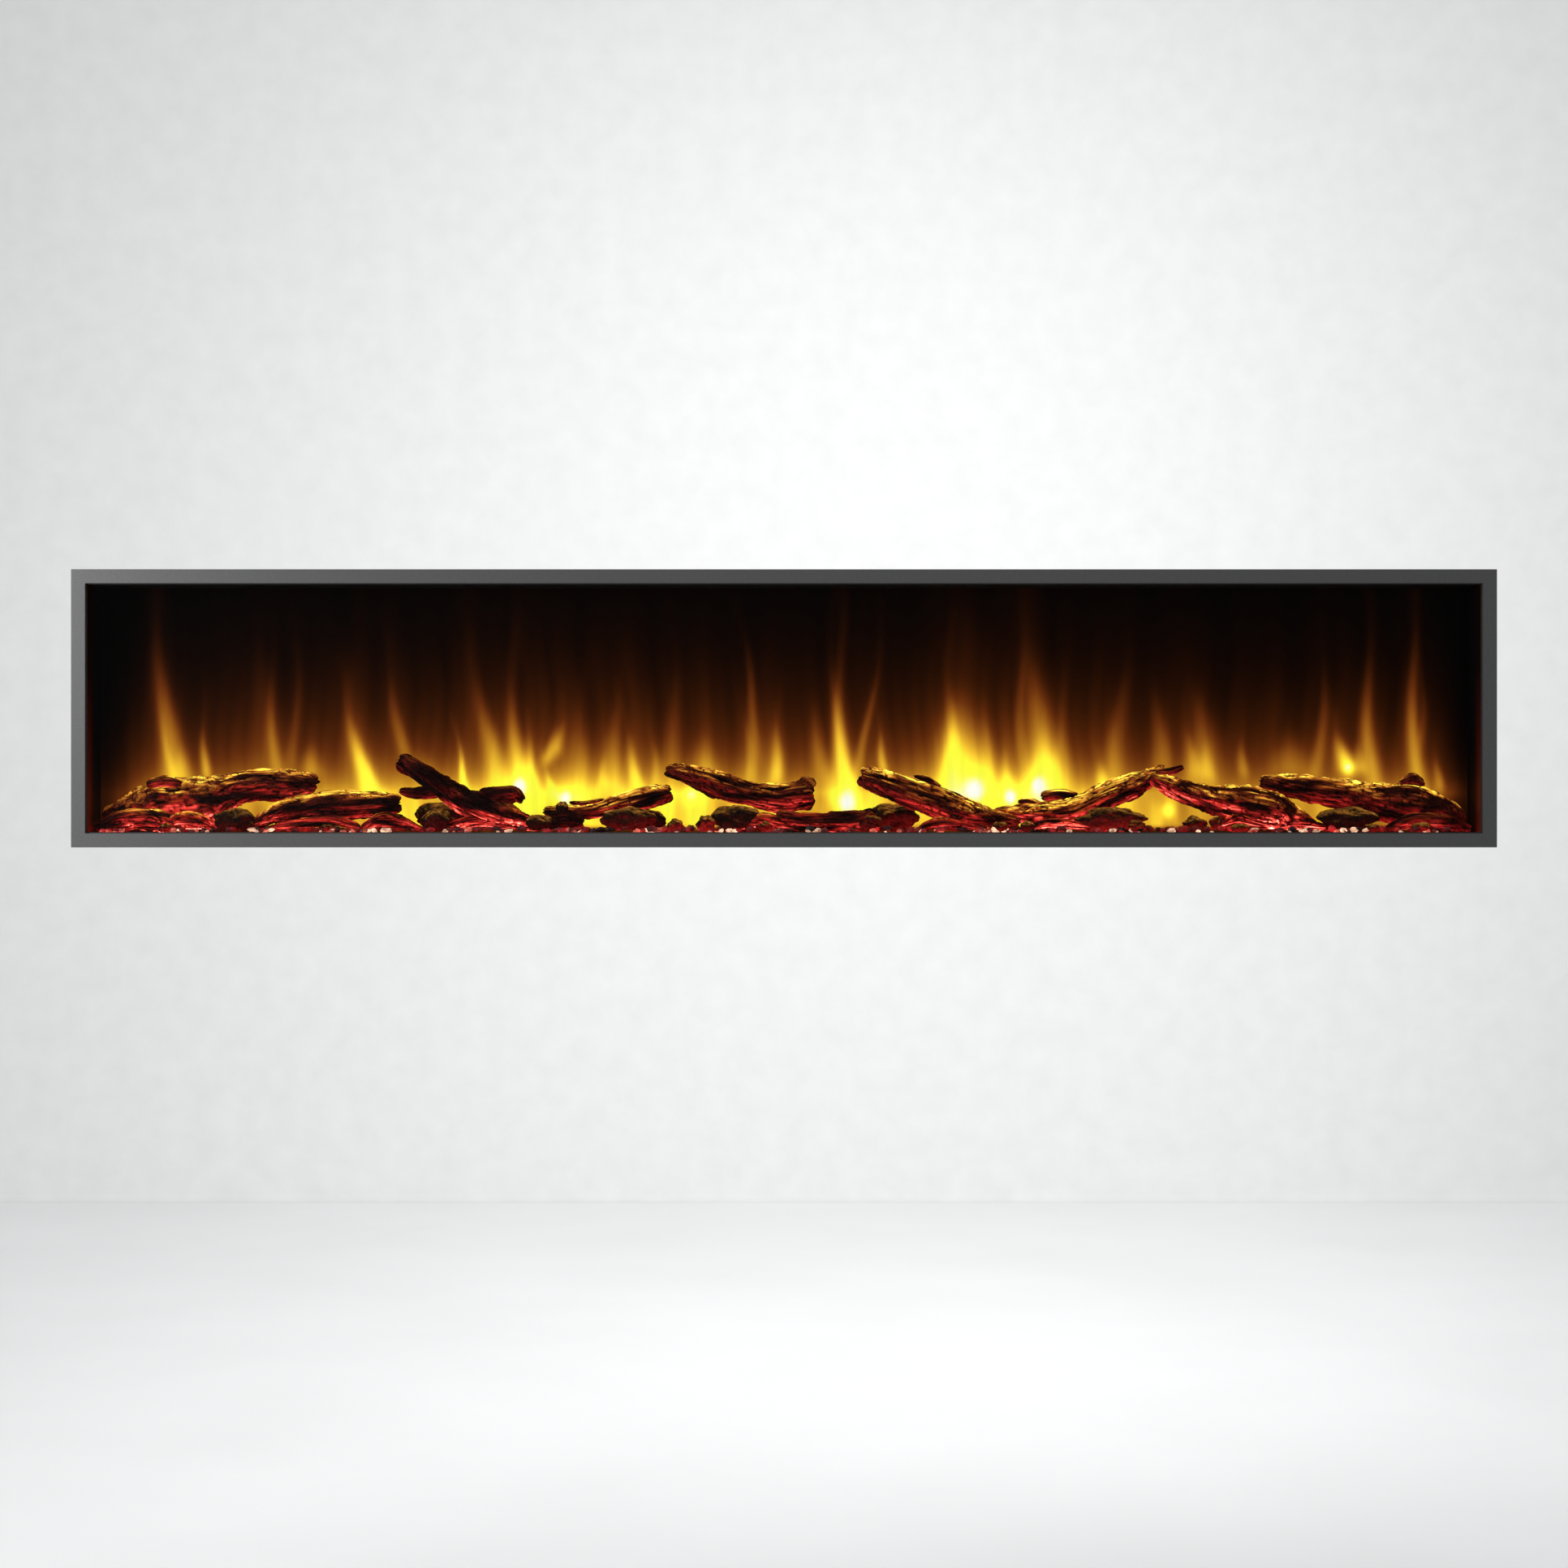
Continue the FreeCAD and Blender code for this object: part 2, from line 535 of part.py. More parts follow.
# Log centre lines: (x, z, vertical half-thickness) from left to right, and the row each log lies in.
LOGS = {
    "log_1": ("middle", [(-980, -157, 12), (-936, -148, 28), (-890, -138, 37), (-831, -130, 33),
                         (-779, -113, 23), (-726, -108, 22), (-676, -107, 13)]),
    "log_2": ("front", [(-758, -164, 9), (-720, -148, 16), (-662, -139.5, 19), (-604, -138, 19),
                        (-557, -136, 13)]),
    "log_3": ("front", [(-550, -72, 12), (-510, -99, 16), (-463, -130, 21), (-417, -148, 23),
                        (-376, -162, 13), (-349, -170, 6)]),
    "log_4": ("back", [(-347, -147, 7), (-282, -148, 11), (-237, -137, 15), (-196, -127, 15),
                       (-173, -121, 12)]),
    "log_5": ("back", [(-169, -88, 9), (-136, -95, 16), (-95, -109, 21), (-55, -120, 17.5), (-8, -128, 21),
                       (42, -122, 22)]),
    "log_6": ("front", [(111, -95, 13), (144, -107, 20), (191, -124, 23), (237, -140, 23), (284, -154, 16),
                        (337, -165, 9)]),
    "log_7": ("back", [(304, -151, 9), (357, -151, 15), (416, -148, 21), (463, -127, 21), (510, -108, 19),
                       (551, -87, 8)]),
    "log_8": ("front", [(527, -99, 8), (565, -115, 17.5), (611, -130, 21), (658, -136, 26), (705, -145, 26),
                        (746, -162, 14), (764, -169, 7)]),
    "log_9": ("back", [(692, -104, 9), (745, -113, 18), (804, -122, 21), (863, -134, 28), (922, -142, 30),
                       (969, -155, 19), (985, -162, 8)]),
}
SHORT_LOGS = [
    ("front", [(-338, -162, 10), (-315, -161, 15), (-289, -163, 10)]),
    ("front", [(-8, -157, 12), (39, -163, 13), (91, -161, 15), (128, -158, 12)]),
]
# Stones: (x, z, half-width, half-height, row)
STONES = [
    (-975, -160, 13, 13, "rear"), (-790, -162, 28, 14, "front"), (-493, -157, 38, 19, "back"),
    (-224, -160, 35, 13, "front"), (-195, -163, 18, 12, "rear"), (-67, -160, 36, 17, "front"),
    (159, -158, 32, 18, "back"), (471, -163, 46, 14, "front"), (812, -162, 43, 14, "front"),
    (595, -167, 16, 9, "back"), (640, -166, 20, 10, "back"),
]
ROWS = {"front": "-log_front_row", "middle": "-log_middle_row", "back": "-log_back_row",
        "rear": "-log_back_row + 8"}


def make_log(row, spine):
    """Loft of upright ellipses along the log's centre line."""
    sections = []
    for x, z, half in spine:
        ring = doc.addObject("Part::Ellipse", "section")
        ring.Placement = FreeCAD.Placement(Vector(), Rotation(Vector(0, 1, 0), -90))
        bind(ring, MajorRadius=half, MinorRadius=f"min({half} * log_slimness; log_most_deep)")
        sections.append(place(ring, x, ROWS[row], z))
    log = doc.addObject("Part::Loft", "log")
    log.Sections = sections
    log.Solid = True
    log.Ruled = True
    return log


def make_logs():
    for label, (row, spine) in LOGS.items():
        node(make_log(row, spine), label)
    node(group([make_log(row, spine) for row, spine in SHORT_LOGS]), "short_logs")
    stones = []
    for x, z, half_wide, half_high, row in STONES:
        stone = doc.addObject("Part::Ellipsoid", "stone")
        bind(stone, Radius1=half_high, Radius2=half_wide, Radius3="5" if row == "rear" else "12")
        stones.append(place(stone, x, ROWS[row], z))
    node(group(stones), "ember_stones")


# ---------------------------------------------------------------- flame drive

FLOOR = f"(-{CASE_Z} + casing_sheet)"
AXIS = ("-rotor_depth", "rotor_level")


def make_flame_mask():
    """Upright sheet with a row of flame-shaped openings that shape the light from the rotors."""
    mask = body("flame_mask")
    sheet = sketch_on(mask, "XZ_Plane", "mask_front - mask_sheet")
    rectangle(sheet, span("mask_half_wide"), (FLOOR, "mask_top"))
    pad(mask, sheet, "mask_sheet")
    flame = sketch_on(mask, "XZ_Plane", "mask_front - 3")
    outline(flame, [("-948", "-150"), ("-920", "-150"), ("-912", "-105"), ("-926", "-40"), ("-934", "30"),
                    ("-944", "-30"), ("-956", "-100")])
    row_of(mask, flame, pocket(mask, flame, "6"), 28, "69")


def led_strip(x, y):
    """Strip board on the casing's floor with a row of light-emitting diodes fused to it."""
    board = block(x, y, (FLOOR, f"{FLOOR} + led_board"))
    middle = f"(({y[0]}) + ({y[1]})) / 2"
    start, end = number(x[0]), number(x[1])
    pitch = number("led_pitch")
    top = f"{FLOOR} + led_board"
    leds = []
    for i in range(int((end - start) / pitch)):
        leds.append(block(span("led_size / 2", start + pitch * (i + 0.5)), span("led_size / 2", middle),
                          (top, f"{top} + led_height")))
    return join([board] + leds)


def make_led_strips():
    node(led_strip(("-960", "960"), ("-104", "-92")), "ember_led_strip")
    halves = [led_strip(("-940", "-30"), ("-44", "-32")), led_strip(("30", "940"), ("-44", "-32"))]
    node(group(halves), "flame_led_strips")


def make_rotor(label, side):
    """Thin rod with reflecting foil blades, each turned on from the last."""
    ends = sorted((side * 0.5, number(f"{side} * rotor_end")))
    parts = [rod("x", "rotor_rod", (ends[0], *AXIS), ends[1] - ends[0])]
    start, pitch = number("blade_start"), number("blade_pitch")
    wide, deep = number("blade_wide"), number("blade_sheet")
    for i in range(29):
        blade = doc.addObject("Part::Box", "blade")
        bind(blade, Length="blade_long", Width="blade_sheet", Height="blade_wide")
        turn = Rotation(Vector(1, 0, 0), number("blade_turn") * i)
        x = side * (start + pitch * i) - number("blade_long") / 2
        corner = Vector(x, number(AXIS[0]), number(AXIS[1])) - turn.multVec(Vector(0, deep / 2, wide / 2))
        blade.Placement = FreeCAD.Placement(corner, turn)
        parts.append(blade)
    node(join(parts), label)


def make_rotor_coupler(label, side):
    """Rubber sleeve on the rod's outer end, with the drive shaft that enters the motor."""
    inner = "rotor_end - coupler_socket"
    outer = f"{inner} + coupler_long"
    tip = f"{outer} + coupler_long"
    if side > 0:
        starts = (inner, inner, outer)
    else:
        starts = (f"-({outer})", "-rotor_end", f"-({tip})")
    sleeve = rod("x", "coupler_radius", (starts[0], *AXIS), "coupler_long")
    socket = rod("x", "rotor_rod", (starts[1], *AXIS), "coupler_socket")
    shaft = rod("x", "shaft_radius", (starts[2], *AXIS), "coupler_long")
    node(join([cut(sleeve, [socket]), shaft]), label)


def make_rotor_motor(label, side):
    start = "motor_face" if side > 0 else "-motor_face - motor_long"
    can = rod("x", "motor_radius", (start, *AXIS), "motor_long")
    mouth = "motor_face - 1" if side > 0 else "-motor_face - motor_bore"
    bore = rod("x", "shaft_radius + running_gap", (mouth, *AXIS), "motor_bore + 1")
    node(cut(can, [bore]), label)


def make_rotor_brackets():
    """Bearing bracket between the rotors and a plate behind each motor's face."""
    plates = []
    for low, high, hole in (("-bracket_plate", "bracket_plate", "bush_radius"),
                            ("motor_face - bracket_plate", "motor_face", "coupler_radius"),
                            ("-motor_face", "-motor_face + bracket_plate", "coupler_radius")):
        deep = span("bracket_half_deep", "-rotor_depth")
        plate = block((low, high), deep, (FLOOR, "rotor_level + bracket_above"))
        foot = block((f"{low} - bracket_foot", low), deep, (FLOOR, f"{FLOOR} + bracket_plate"))
        opening = rod("x", hole, (f"{low} - 1", *AXIS), 5)
        plates.append(cut(join([plate, foot]), [opening]))
    node(group(plates), "rotor_brackets")
    bush = rod("x", "bush_radius", ("-bush_half_long", *AXIS), "2 * bush_half_long")
    bore = rod("x", "rotor_rod + running_gap", ("-bush_half_long - 1", *AXIS), "2 * bush_half_long + 2")
    node(cut(bush, [bore]), "rotor_bush")


# ---------------------------------------------------------------- fan heater

WHEEL = ("-wheel_depth", "wheel_level")
INNER_TOP = f"({CASE_Z} - casing_sheet)"


def make_heater_housing():
    """Open-topped sheet box with an intake slot in its floor and a hole at each end for the shaft."""
    outer = block(span("heater_half_wide"), ("-heater_front", "-heater_rear"), ("heater_floor", "duct_floor"))
    room = block(span("heater_half_wide - heater_sheet"),
                 ("-heater_front + heater_sheet", "-heater_rear - heater_sheet"),
                 ("heater_floor + heater_sheet", "duct_floor + 1"))
    intake = block(span("intake_half_wide"), ("-intake_front", "-intake_rear"),
                   ("heater_floor - 1", "heater_floor + 3"))
    shaft_hole = rod("x", "fan_shaft + running_gap", ("-heater_half_wide - 1", *WHEEL),
                     "2 * heater_half_wide + 2")
    node(cut(outer, [room, intake, shaft_hole]), "heater_housing")


def make_blower_wheel():
    """Cross-flow fan: three discs, a ring of blades and a shaft."""
    wheel = body("blower_wheel")
    place(wheel, 0, *WHEEL)
    for start in ("-wheel_half_long", "-disc_sheet / 2", "wheel_half_long - disc_sheet"):
        disc = sketch_on(wheel, "YZ_Plane", start)
        circle(disc, "0", "0", "wheel_radius")
        pad(wheel, disc, "disc_sheet")
    shaft = sketch_on(wheel, "YZ_Plane", "-heater_half_wide + 0.2")
    circle(shaft, "0", "0", "fan_shaft")
    pad(wheel, shaft, "2 * heater_half_wide + shaft_past")
    blade = sketch_on(wheel, "YZ_Plane", "-wheel_half_long")
    rectangle(blade, span("vane_sheet / 2"), ("wheel_radius - vane_long", "wheel_radius - vane_inset"))
    vane = pad(wheel, blade, "2 * wheel_half_long")
    ring = wheel.newObject("PartDesign::PolarPattern", "ring")
    ring.Originals = [vane]
    ring.Axis = (blade, ["N_Axis"])
    ring.Occurrences = 18
    wheel.Tip = ring


def make_blower_motor():
    face = "heater_half_wide + fan_motor_plate"
    can = rod("x", "fan_motor_radius", (face, *WHEEL), "fan_motor_long")
    flange = block(("heater_half_wide", face), span("fan_motor_radius", WHEEL[0]),
                   span("fan_motor_half_high", WHEEL[1]))
    bore = rod("x", "fan_shaft + running_gap", ("heater_half_wide - 1", *WHEEL), "shaft_past + 3")
    node(cut(join([can, flange]), [bore]), "blower_motor")


def make_heater_element():
    """Two heated bars joined by a row of thin fins."""
    tall = ("element_floor", "element_floor + element_high")
    bars = [block(span("element_half_wide"), (start, f"{start} + element_bar"), tall)
            for start in ("-element_front", "-element_rear")]
    between = ("-element_front + element_bar", "-element_rear")
    fins = [block(span("fin_sheet / 2", f"(fin_first + fin_pitch * {i})"), between, tall) for i in range(23)]
    node(join(bars + fins), "heater_element")


def make_outlet_duct():
    """Flat duct over the firebox from the heater to the slots in the trim."""
    outer = block(span("duct_half_wide"), ("-duct_front", "-heater_rear"), ("duct_floor", INNER_TOP))
    room = block(span("duct_half_wide - heater_sheet"), ("-duct_front - 1", "-heater_rear - heater_sheet"),
                 ("duct_floor + heater_sheet", f"{INNER_TOP} - heater_sheet"))
    mouth = block(span("heater_half_wide - 10"), ("-heater_front + 5", "-heater_rear - 5"),
                  ("duct_floor - 1", "duct_floor + 3"))
    node(cut(outer, [room, mouth]), "outlet_duct")


# ---------------------------------------------------------------- electronics and controls

def part_on_board(across, up, tall):
    """Soldered part, from its place on the board and its width, height and depth."""
    return block((f"board_left + {across[0]}", f"board_left + {across[0] + across[1]}"),
                 (f"-board_front - {tall}", "-board_front"),
                 (f"board_floor + {up[0]}", f"board_floor + {up[0] + up[1]}"))


def make_control_board():
    """Circuit board with its relays, capacitor and terminal block, on four standoffs."""
    board = block(("board_left", "board_right"), ("-board_front", "-board_rear"),
                  ("board_floor", "board_top"))
    relays = [part_on_board((x, 26), (50, 16), 16) for x in (15, 50, 85)]
    transformer = part_on_board((140, 45), (10, 35), 28)
    terminals = part_on_board((15, 90), (4, 12), 12)
    capacitor = rod("y", 8, ("board_left + 125", "-board_front - 22", "board_floor + 32"), 22)
    node(join([board, transformer, terminals, capacitor] + relays), "control_board")
    posts = [rod("y", "post_radius", (x, "-board_rear", z), "post_long")
             for x in ("board_left + post_inset", "board_right - post_inset")
             for z in ("board_floor + post_inset", "board_top - post_inset")]
    node(group(posts), "board_standoffs")


def make_receiver():
    """Remote-control receiver behind the upper right of the screen."""
    board = block((928, 952), (SCREEN_BACK, f"{SCREEN_BACK} + 1.6"), (142, 158))
    eye = rod("y", 3, (940, f"{SCREEN_BACK} + 1.6", 150), 5)
    node(join([board, eye]), "receiver")


BUTTONS = {"button_flame": 45, "button_heat": 62, "button_timer": 79}


def make_control_pod():
    """Housing on the flange with an opening for each control in its outer face."""
    outer = block(("pod_inner", "pod_outer"), ("-pod_front", "-pod_rear"), ("pod_bottom", "pod_top"))
    room = block(("pod_inner + pod_wall", "pod_outer - pod_wall"),
                 ("-pod_front + pod_wall", "-pod_rear - pod_wall"),
                 ("pod_bottom + pod_wall", "pod_top - pod_wall"))
    tools = [room]
    through = ("pod_outer - 2 * pod_wall", "pod_outer + 1")
    for level in BUTTONS.values():
        half = "button_size / 2 + button_gap"
        tools.append(block(through, span(half, "-rocker_depth"), span(half, level)))
    tools.append(block(through, span("rocker_half_deep", "-rocker_depth"),
                       span("rocker_half_high", "rocker_level")))
    seat = ("rocker_axis", "-rocker_depth - trunnion_reach", "rocker_level")
    tools.append(rod("y", "trunnion_radius + running_gap", seat, "2 * trunnion_reach"))
    node(cut(outer, tools), "control_pod")


def make_pod_board():
    """Narrow board inside the pod with a switch behind each control."""
    base = "pod_inner + pod_wall + pod_board_sheet"
    board = block(("pod_inner + pod_wall", base), ("-pod_front + 3", "-pod_rear - 2.8"),
                  ("pod_bottom + 4", "pod_top - 3"))
    switches = [block((base, f"{base} + switch_high"), span("switch_half", "-rocker_depth"),
                      span("switch_half", level))
                for level in BUTTONS.values()]
    node(join([board] + switches), "pod_board")


def make_buttons():
    for label, level in BUTTONS.items():
        half = "button_size / 2"
        stem = block(("button_tail", "button_tip"), span(half, "-rocker_depth"), span(half, level))
        behind = "pod_outer - pod_wall - collar_gap"
        collar = block((f"{behind} - collar_sheet", behind), span(f"{half} + collar_rim", "-rocker_depth"),
                       span(f"{half} + collar_rim", level))
        node(join([stem, collar]), label)


def make_power_rocker():
    """Rocker with a hollow V face, stored tipped to its off stop, on two trunnions."""
    rocker = body("power_rocker")
    rocker.Placement = FreeCAD.Placement(Vector(), Rotation(Vector(0, 1, 0), 8))
    place(rocker, "rocker_axis", "-rocker_depth", "rocker_level")
    face = sketch_on(rocker, "XZ_Plane")
    outline(face, [("-1.2", "-4"), ("1", "-7"), ("3.6", "-7"), ("2.7", "0"), ("3.6", "7"), ("1", "7"),
                   ("-1.2", "4")])
    pad(rocker, face, "7", symmetric=True)
    trunnions = sketch_on(rocker, "XZ_Plane")
    circle(trunnions, "0", "0", "trunnion_radius")
    pad(rocker, trunnions, "15.2", symmetric=True)


# ---------------------------------------------------------------- build, check and export

def build():
    make_front_trim()
    make_glass()
    make_glass_clips()
    make_front_studs()
    make_casing_lid("casing_top", 1)
    make_casing_lid("casing_bottom", -1)
    make_casing_side("casing_left", -1)
    make_casing_side("casing_right", 1)
    make_casing_back()
    make_wall_flange()
    make_casing_screws()
    make_wall_bracket("wall_bracket_left", -1)
    make_wall_bracket("wall_bracket_right", 1)
    make_hang_plates()
    make_cable_gland()
    make_firebox()
    make_ember_crystals()
    make_logs()
    make_flame_mask()
    make_led_strips()
    make_rotor("rotor_left", -1)
    make_rotor("rotor_right", 1)
    make_rotor_coupler("rotor_coupler_left", -1)
    make_rotor_coupler("rotor_coupler_right", 1)
    make_rotor_motor("rotor_motor_left", -1)
    make_rotor_motor("rotor_motor_right", 1)
    make_rotor_brackets()
    make_heater_housing()
    make_blower_wheel()
    make_blower_motor()
    make_heater_element()
    make_outlet_duct()
    make_control_board()
    make_receiver()
    make_control_pod()
    make_pod_board()
    make_buttons()
    make_power_rocker()
    doc.recompute()


def check():
    """Stop if any object failed or any sub-part has no valid solid."""
    for item in doc.Objects:
        if "Invalid" in item.State or "Error" in item.State:
            raise RuntimeError(f"{item.Label} failed: {item.State}")
    for piece in nodes:
        shape = piece.Shape
        if shape.isNull() or not shape.isValid() or not shape.Solids:
            raise RuntimeError(f"{piece.Label} has no valid solid")


def export():
    os.makedirs("parts", exist_ok=True)
    for piece in nodes:
        piece.Shape.exportStep(f"parts/{piece.Label}.step")
    print(len(nodes), "sub-parts written")


build()
check()
export()
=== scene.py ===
import math
import random

import bpy
import numpy as np
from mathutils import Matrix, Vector, noise


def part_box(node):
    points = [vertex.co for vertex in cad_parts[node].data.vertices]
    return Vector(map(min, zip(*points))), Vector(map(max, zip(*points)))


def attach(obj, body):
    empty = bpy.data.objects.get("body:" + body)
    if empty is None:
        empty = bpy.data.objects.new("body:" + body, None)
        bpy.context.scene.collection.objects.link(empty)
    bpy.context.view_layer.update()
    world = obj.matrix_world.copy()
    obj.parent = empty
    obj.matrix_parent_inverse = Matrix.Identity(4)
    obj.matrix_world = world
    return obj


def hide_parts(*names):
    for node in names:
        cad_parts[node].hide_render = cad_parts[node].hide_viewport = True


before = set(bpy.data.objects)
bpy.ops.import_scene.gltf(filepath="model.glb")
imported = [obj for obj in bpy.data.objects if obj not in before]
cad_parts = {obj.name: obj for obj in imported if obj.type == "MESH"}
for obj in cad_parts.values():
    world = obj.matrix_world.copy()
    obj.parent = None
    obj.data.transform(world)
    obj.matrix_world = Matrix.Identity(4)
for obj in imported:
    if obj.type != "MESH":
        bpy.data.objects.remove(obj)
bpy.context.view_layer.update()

# Linear electric fireplace, in metres. The glass faces -Y and the long side lies along X.
# Flames, logs, stones and crystals are laid out in millimetres, in the same axes.

GLASS_GAIN = 2.2          # light lost in the smoked glass, made up by every glow behind it
BED_LEVEL = -178.0        # top of the ember tray, in millimetres
UP = Vector((0, 0, 1))


# ---------------------------------------------------------------- camera, light, stage

def make_camera():
    data = bpy.data.cameras.new("camera")
    data.lens = 61.15
    data.sensor_width = 36
    camera = bpy.data.objects.new("camera", data)
    camera.location = (0, -3.945, -0.108)
    camera.rotation_euler = (math.radians(90), 0, 0)
    bpy.context.scene.collection.objects.link(camera)
    bpy.context.scene.camera = camera


def area_light(name, place, target, size, power):
    data = bpy.data.lights.new(name, "AREA")
    data.shape = "DISK"
    data.size = size
    data.energy = power
    lamp = bpy.data.objects.new(name, data)
    lamp.location = place
    lamp.rotation_euler = (Vector(target) - Vector(place)).to_track_quat("-Z", "Y").to_euler()
    lamp.visible_camera = False
    bpy.context.scene.collection.objects.link(lamp)


def make_lights():
    world = bpy.data.worlds.new("studio")
    bpy.context.scene.world = world
    world.use_nodes = True
    background = world.node_tree.nodes["Background"]
    background.inputs["Color"].default_value = (0.80, 0.81, 0.82, 1)
    background.inputs["Strength"].default_value = 0.60
    area_light("key_left", (-2.2, -1.45, 0.45), (-1.0, -0.14, 0), 0.6, 60)
    area_light("top_soft", (0.3, -1.2, 2.8), (0, 0.6, -0.7), 2.2, 42)
    area_light("wall_wash", (0.5, 1.9, 1.3), (0.5, 4.9, -0.2), 2.6, 48)


def make_stage():
    """Pale floor, and a plastered wall well behind the object, with a small hollow at its foot."""
    floor_level, wall, wall_top, hollow, steps = -1.51, 5.0, 5.5, 0.03, 6
    floor_front = -7.0
    foot = []
    for i in range(steps + 1):
        turn = math.radians(90 * i / steps)
        foot.append((wall - hollow + hollow * math.sin(turn), floor_level + hollow * (1 - math.cos(turn))))
    plaster = surface("plaster", (0.86, 0.86, 0.855), 0.85, grain=34, grain_depth=0.08, tint=0.025,
                      tint_scale=11)
    screed = surface("floor_screed", (0.93, 0.93, 0.93), 0.8, grain=60, grain_depth=0.03, tint=0.02,
                     tint_scale=1.6)
    stage_sheet("plaster_wall", foot + [(wall, wall_top)], plaster)
    stage_sheet("pale_floor", [(floor_front, floor_level), foot[0]], screed)


def stage_sheet(name, profile, material):
    """Sheet for the room: a profile of (y, z) points drawn out along X."""
    reach = 9
    verts = [(x, y, z) for y, z in profile for x in (-reach, reach)]
    faces = [(2 * i, 2 * i + 1, 2 * i + 3, 2 * i + 2) for i in range(len(profile) - 1)]
    sheet = mesh_object(name, verts, faces)
    sheet.data.materials.append(material)


# ---------------------------------------------------------------- mesh and node helpers

def mesh_object(name, verts, faces, smooth=False):
    data = bpy.data.meshes.new(name)
    data.from_pydata([tuple(v) for v in verts], [], faces)
    data.validate()
    data.update()
    if smooth:
        data.polygons.foreach_set("use_smooth", [True] * len(data.polygons))
    piece = bpy.data.objects.new(name, data)
    bpy.context.scene.collection.objects.link(piece)
    return piece


def color_attribute(piece, name, values):
    """Colour per vertex from an (n, 3) array."""
    layer = piece.data.attributes.new(name, "FLOAT_COLOR", "POINT")
    rgba = np.ones((len(values), 4), np.float32)
    rgba[:, :3] = values
    layer.data.foreach_set("color", rgba.ravel())


def vector_attribute(piece, name, values):
    layer = piece.data.attributes.new(name, "FLOAT_VECTOR", "POINT")
    layer.data.foreach_set("vector", np.array(values, np.float32).ravel())


def vertex_normals(piece):
    normals = np.empty(len(piece.data.vertices) * 3)
    piece.data.vertex_normals.foreach_get("vector", normals)
    return normals.reshape(-1, 3)


def tinted(amount, color):
    """One colour at every vertex, scaled by that vertex's amount."""
    return amount[:, None] * np.array(color)


def new_material(name):
    material = bpy.data.materials.new(name)
    material.use_nodes = True
    tree = material.node_tree
    return material, tree, tree.nodes["Principled BSDF"]


def node(tree, kind, **sockets):
    made = tree.nodes.new(kind)
    for key, value in sockets.items():
        made.inputs[key].default_value = value
    return made


def coordinates(tree, scale=(1, 1, 1)):
    place = node(tree, "ShaderNodeTexCoord")
    mapping = node(tree, "ShaderNodeMapping")
    mapping.inputs["Scale"].default_value = scale
    tree.links.new(place.outputs["Object"], mapping.inputs["Vector"])
    return mapping.outputs["Vector"]


def noise_value(tree, scale, detail=3.0, stretch=(1, 1, 1), rough=0.5):
    made = node(tree, "ShaderNodeTexNoise", Scale=scale, Detail=detail, Roughness=rough)
    tree.links.new(coordinates(tree, stretch), made.inputs["Vector"])
    return made.outputs["Fac"]


def blend_colors(tree, factor, low, high):
    ramp = node(tree, "ShaderNodeValToRGB")
    ramp.color_ramp.elements[0].position = 0.3
    ramp.color_ramp.elements[0].color = (*low, 1)
    ramp.color_ramp.elements[1].position = 0.7
    ramp.color_ramp.elements[1].color = (*high, 1)
    tree.links.new(factor, ramp.inputs["Fac"])
    return ramp.outputs["Color"]


def add_bump(tree, shader, height, depth, distance=0.001):
    bump = node(tree, "ShaderNodeBump", Strength=depth, Distance=distance)
    tree.links.new(height, bump.inputs["Height"])
    tree.links.new(bump.outputs["Normal"], shader.inputs["Normal"])


def surface(name, color, rough, metal=0.0, grain=200.0, grain_depth=0.2, stretch=(1, 1, 1), tint=0.12,
            tint_scale=None, rough_swing=0.08):
    """Principled surface with a varied colour, a varied roughness and a fine grain."""
    material, tree, shader = new_material(name)
    shader.inputs["Metallic"].default_value = metal
    tone = noise_value(tree, tint_scale or grain * 0.4, 4.0, stretch)
    low = [c * (1 - tint) for c in color]
    high = [min(1, c * (1 + tint)) for c in color]
    tree.links.new(blend_colors(tree, tone, low, high), shader.inputs["Base Color"])
    fine = noise_value(tree, grain, 2.0, stretch)
    span = node(tree, "ShaderNodeMapRange")
    span.inputs["To Min"].default_value = max(0.02, rough - rough_swing)
    span.inputs["To Max"].default_value = min(1.0, rough + rough_swing)
    tree.links.new(fine, span.inputs["Value"])
    tree.links.new(span.outputs["Result"], shader.inputs["Roughness"])
    add_bump(tree, shader, fine, grain_depth)
    return material


def dress(names, material):
    """Give CAD nodes a new material."""
    for name in names:
        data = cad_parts[name].data
        data.materials.clear()
        data.materials.append(material)


# ---------------------------------------------------------------- flame light painted on the screen

# Heat at which red is full, and the most that the haze reaches before its swell.
FULL_HEAT = 0.82
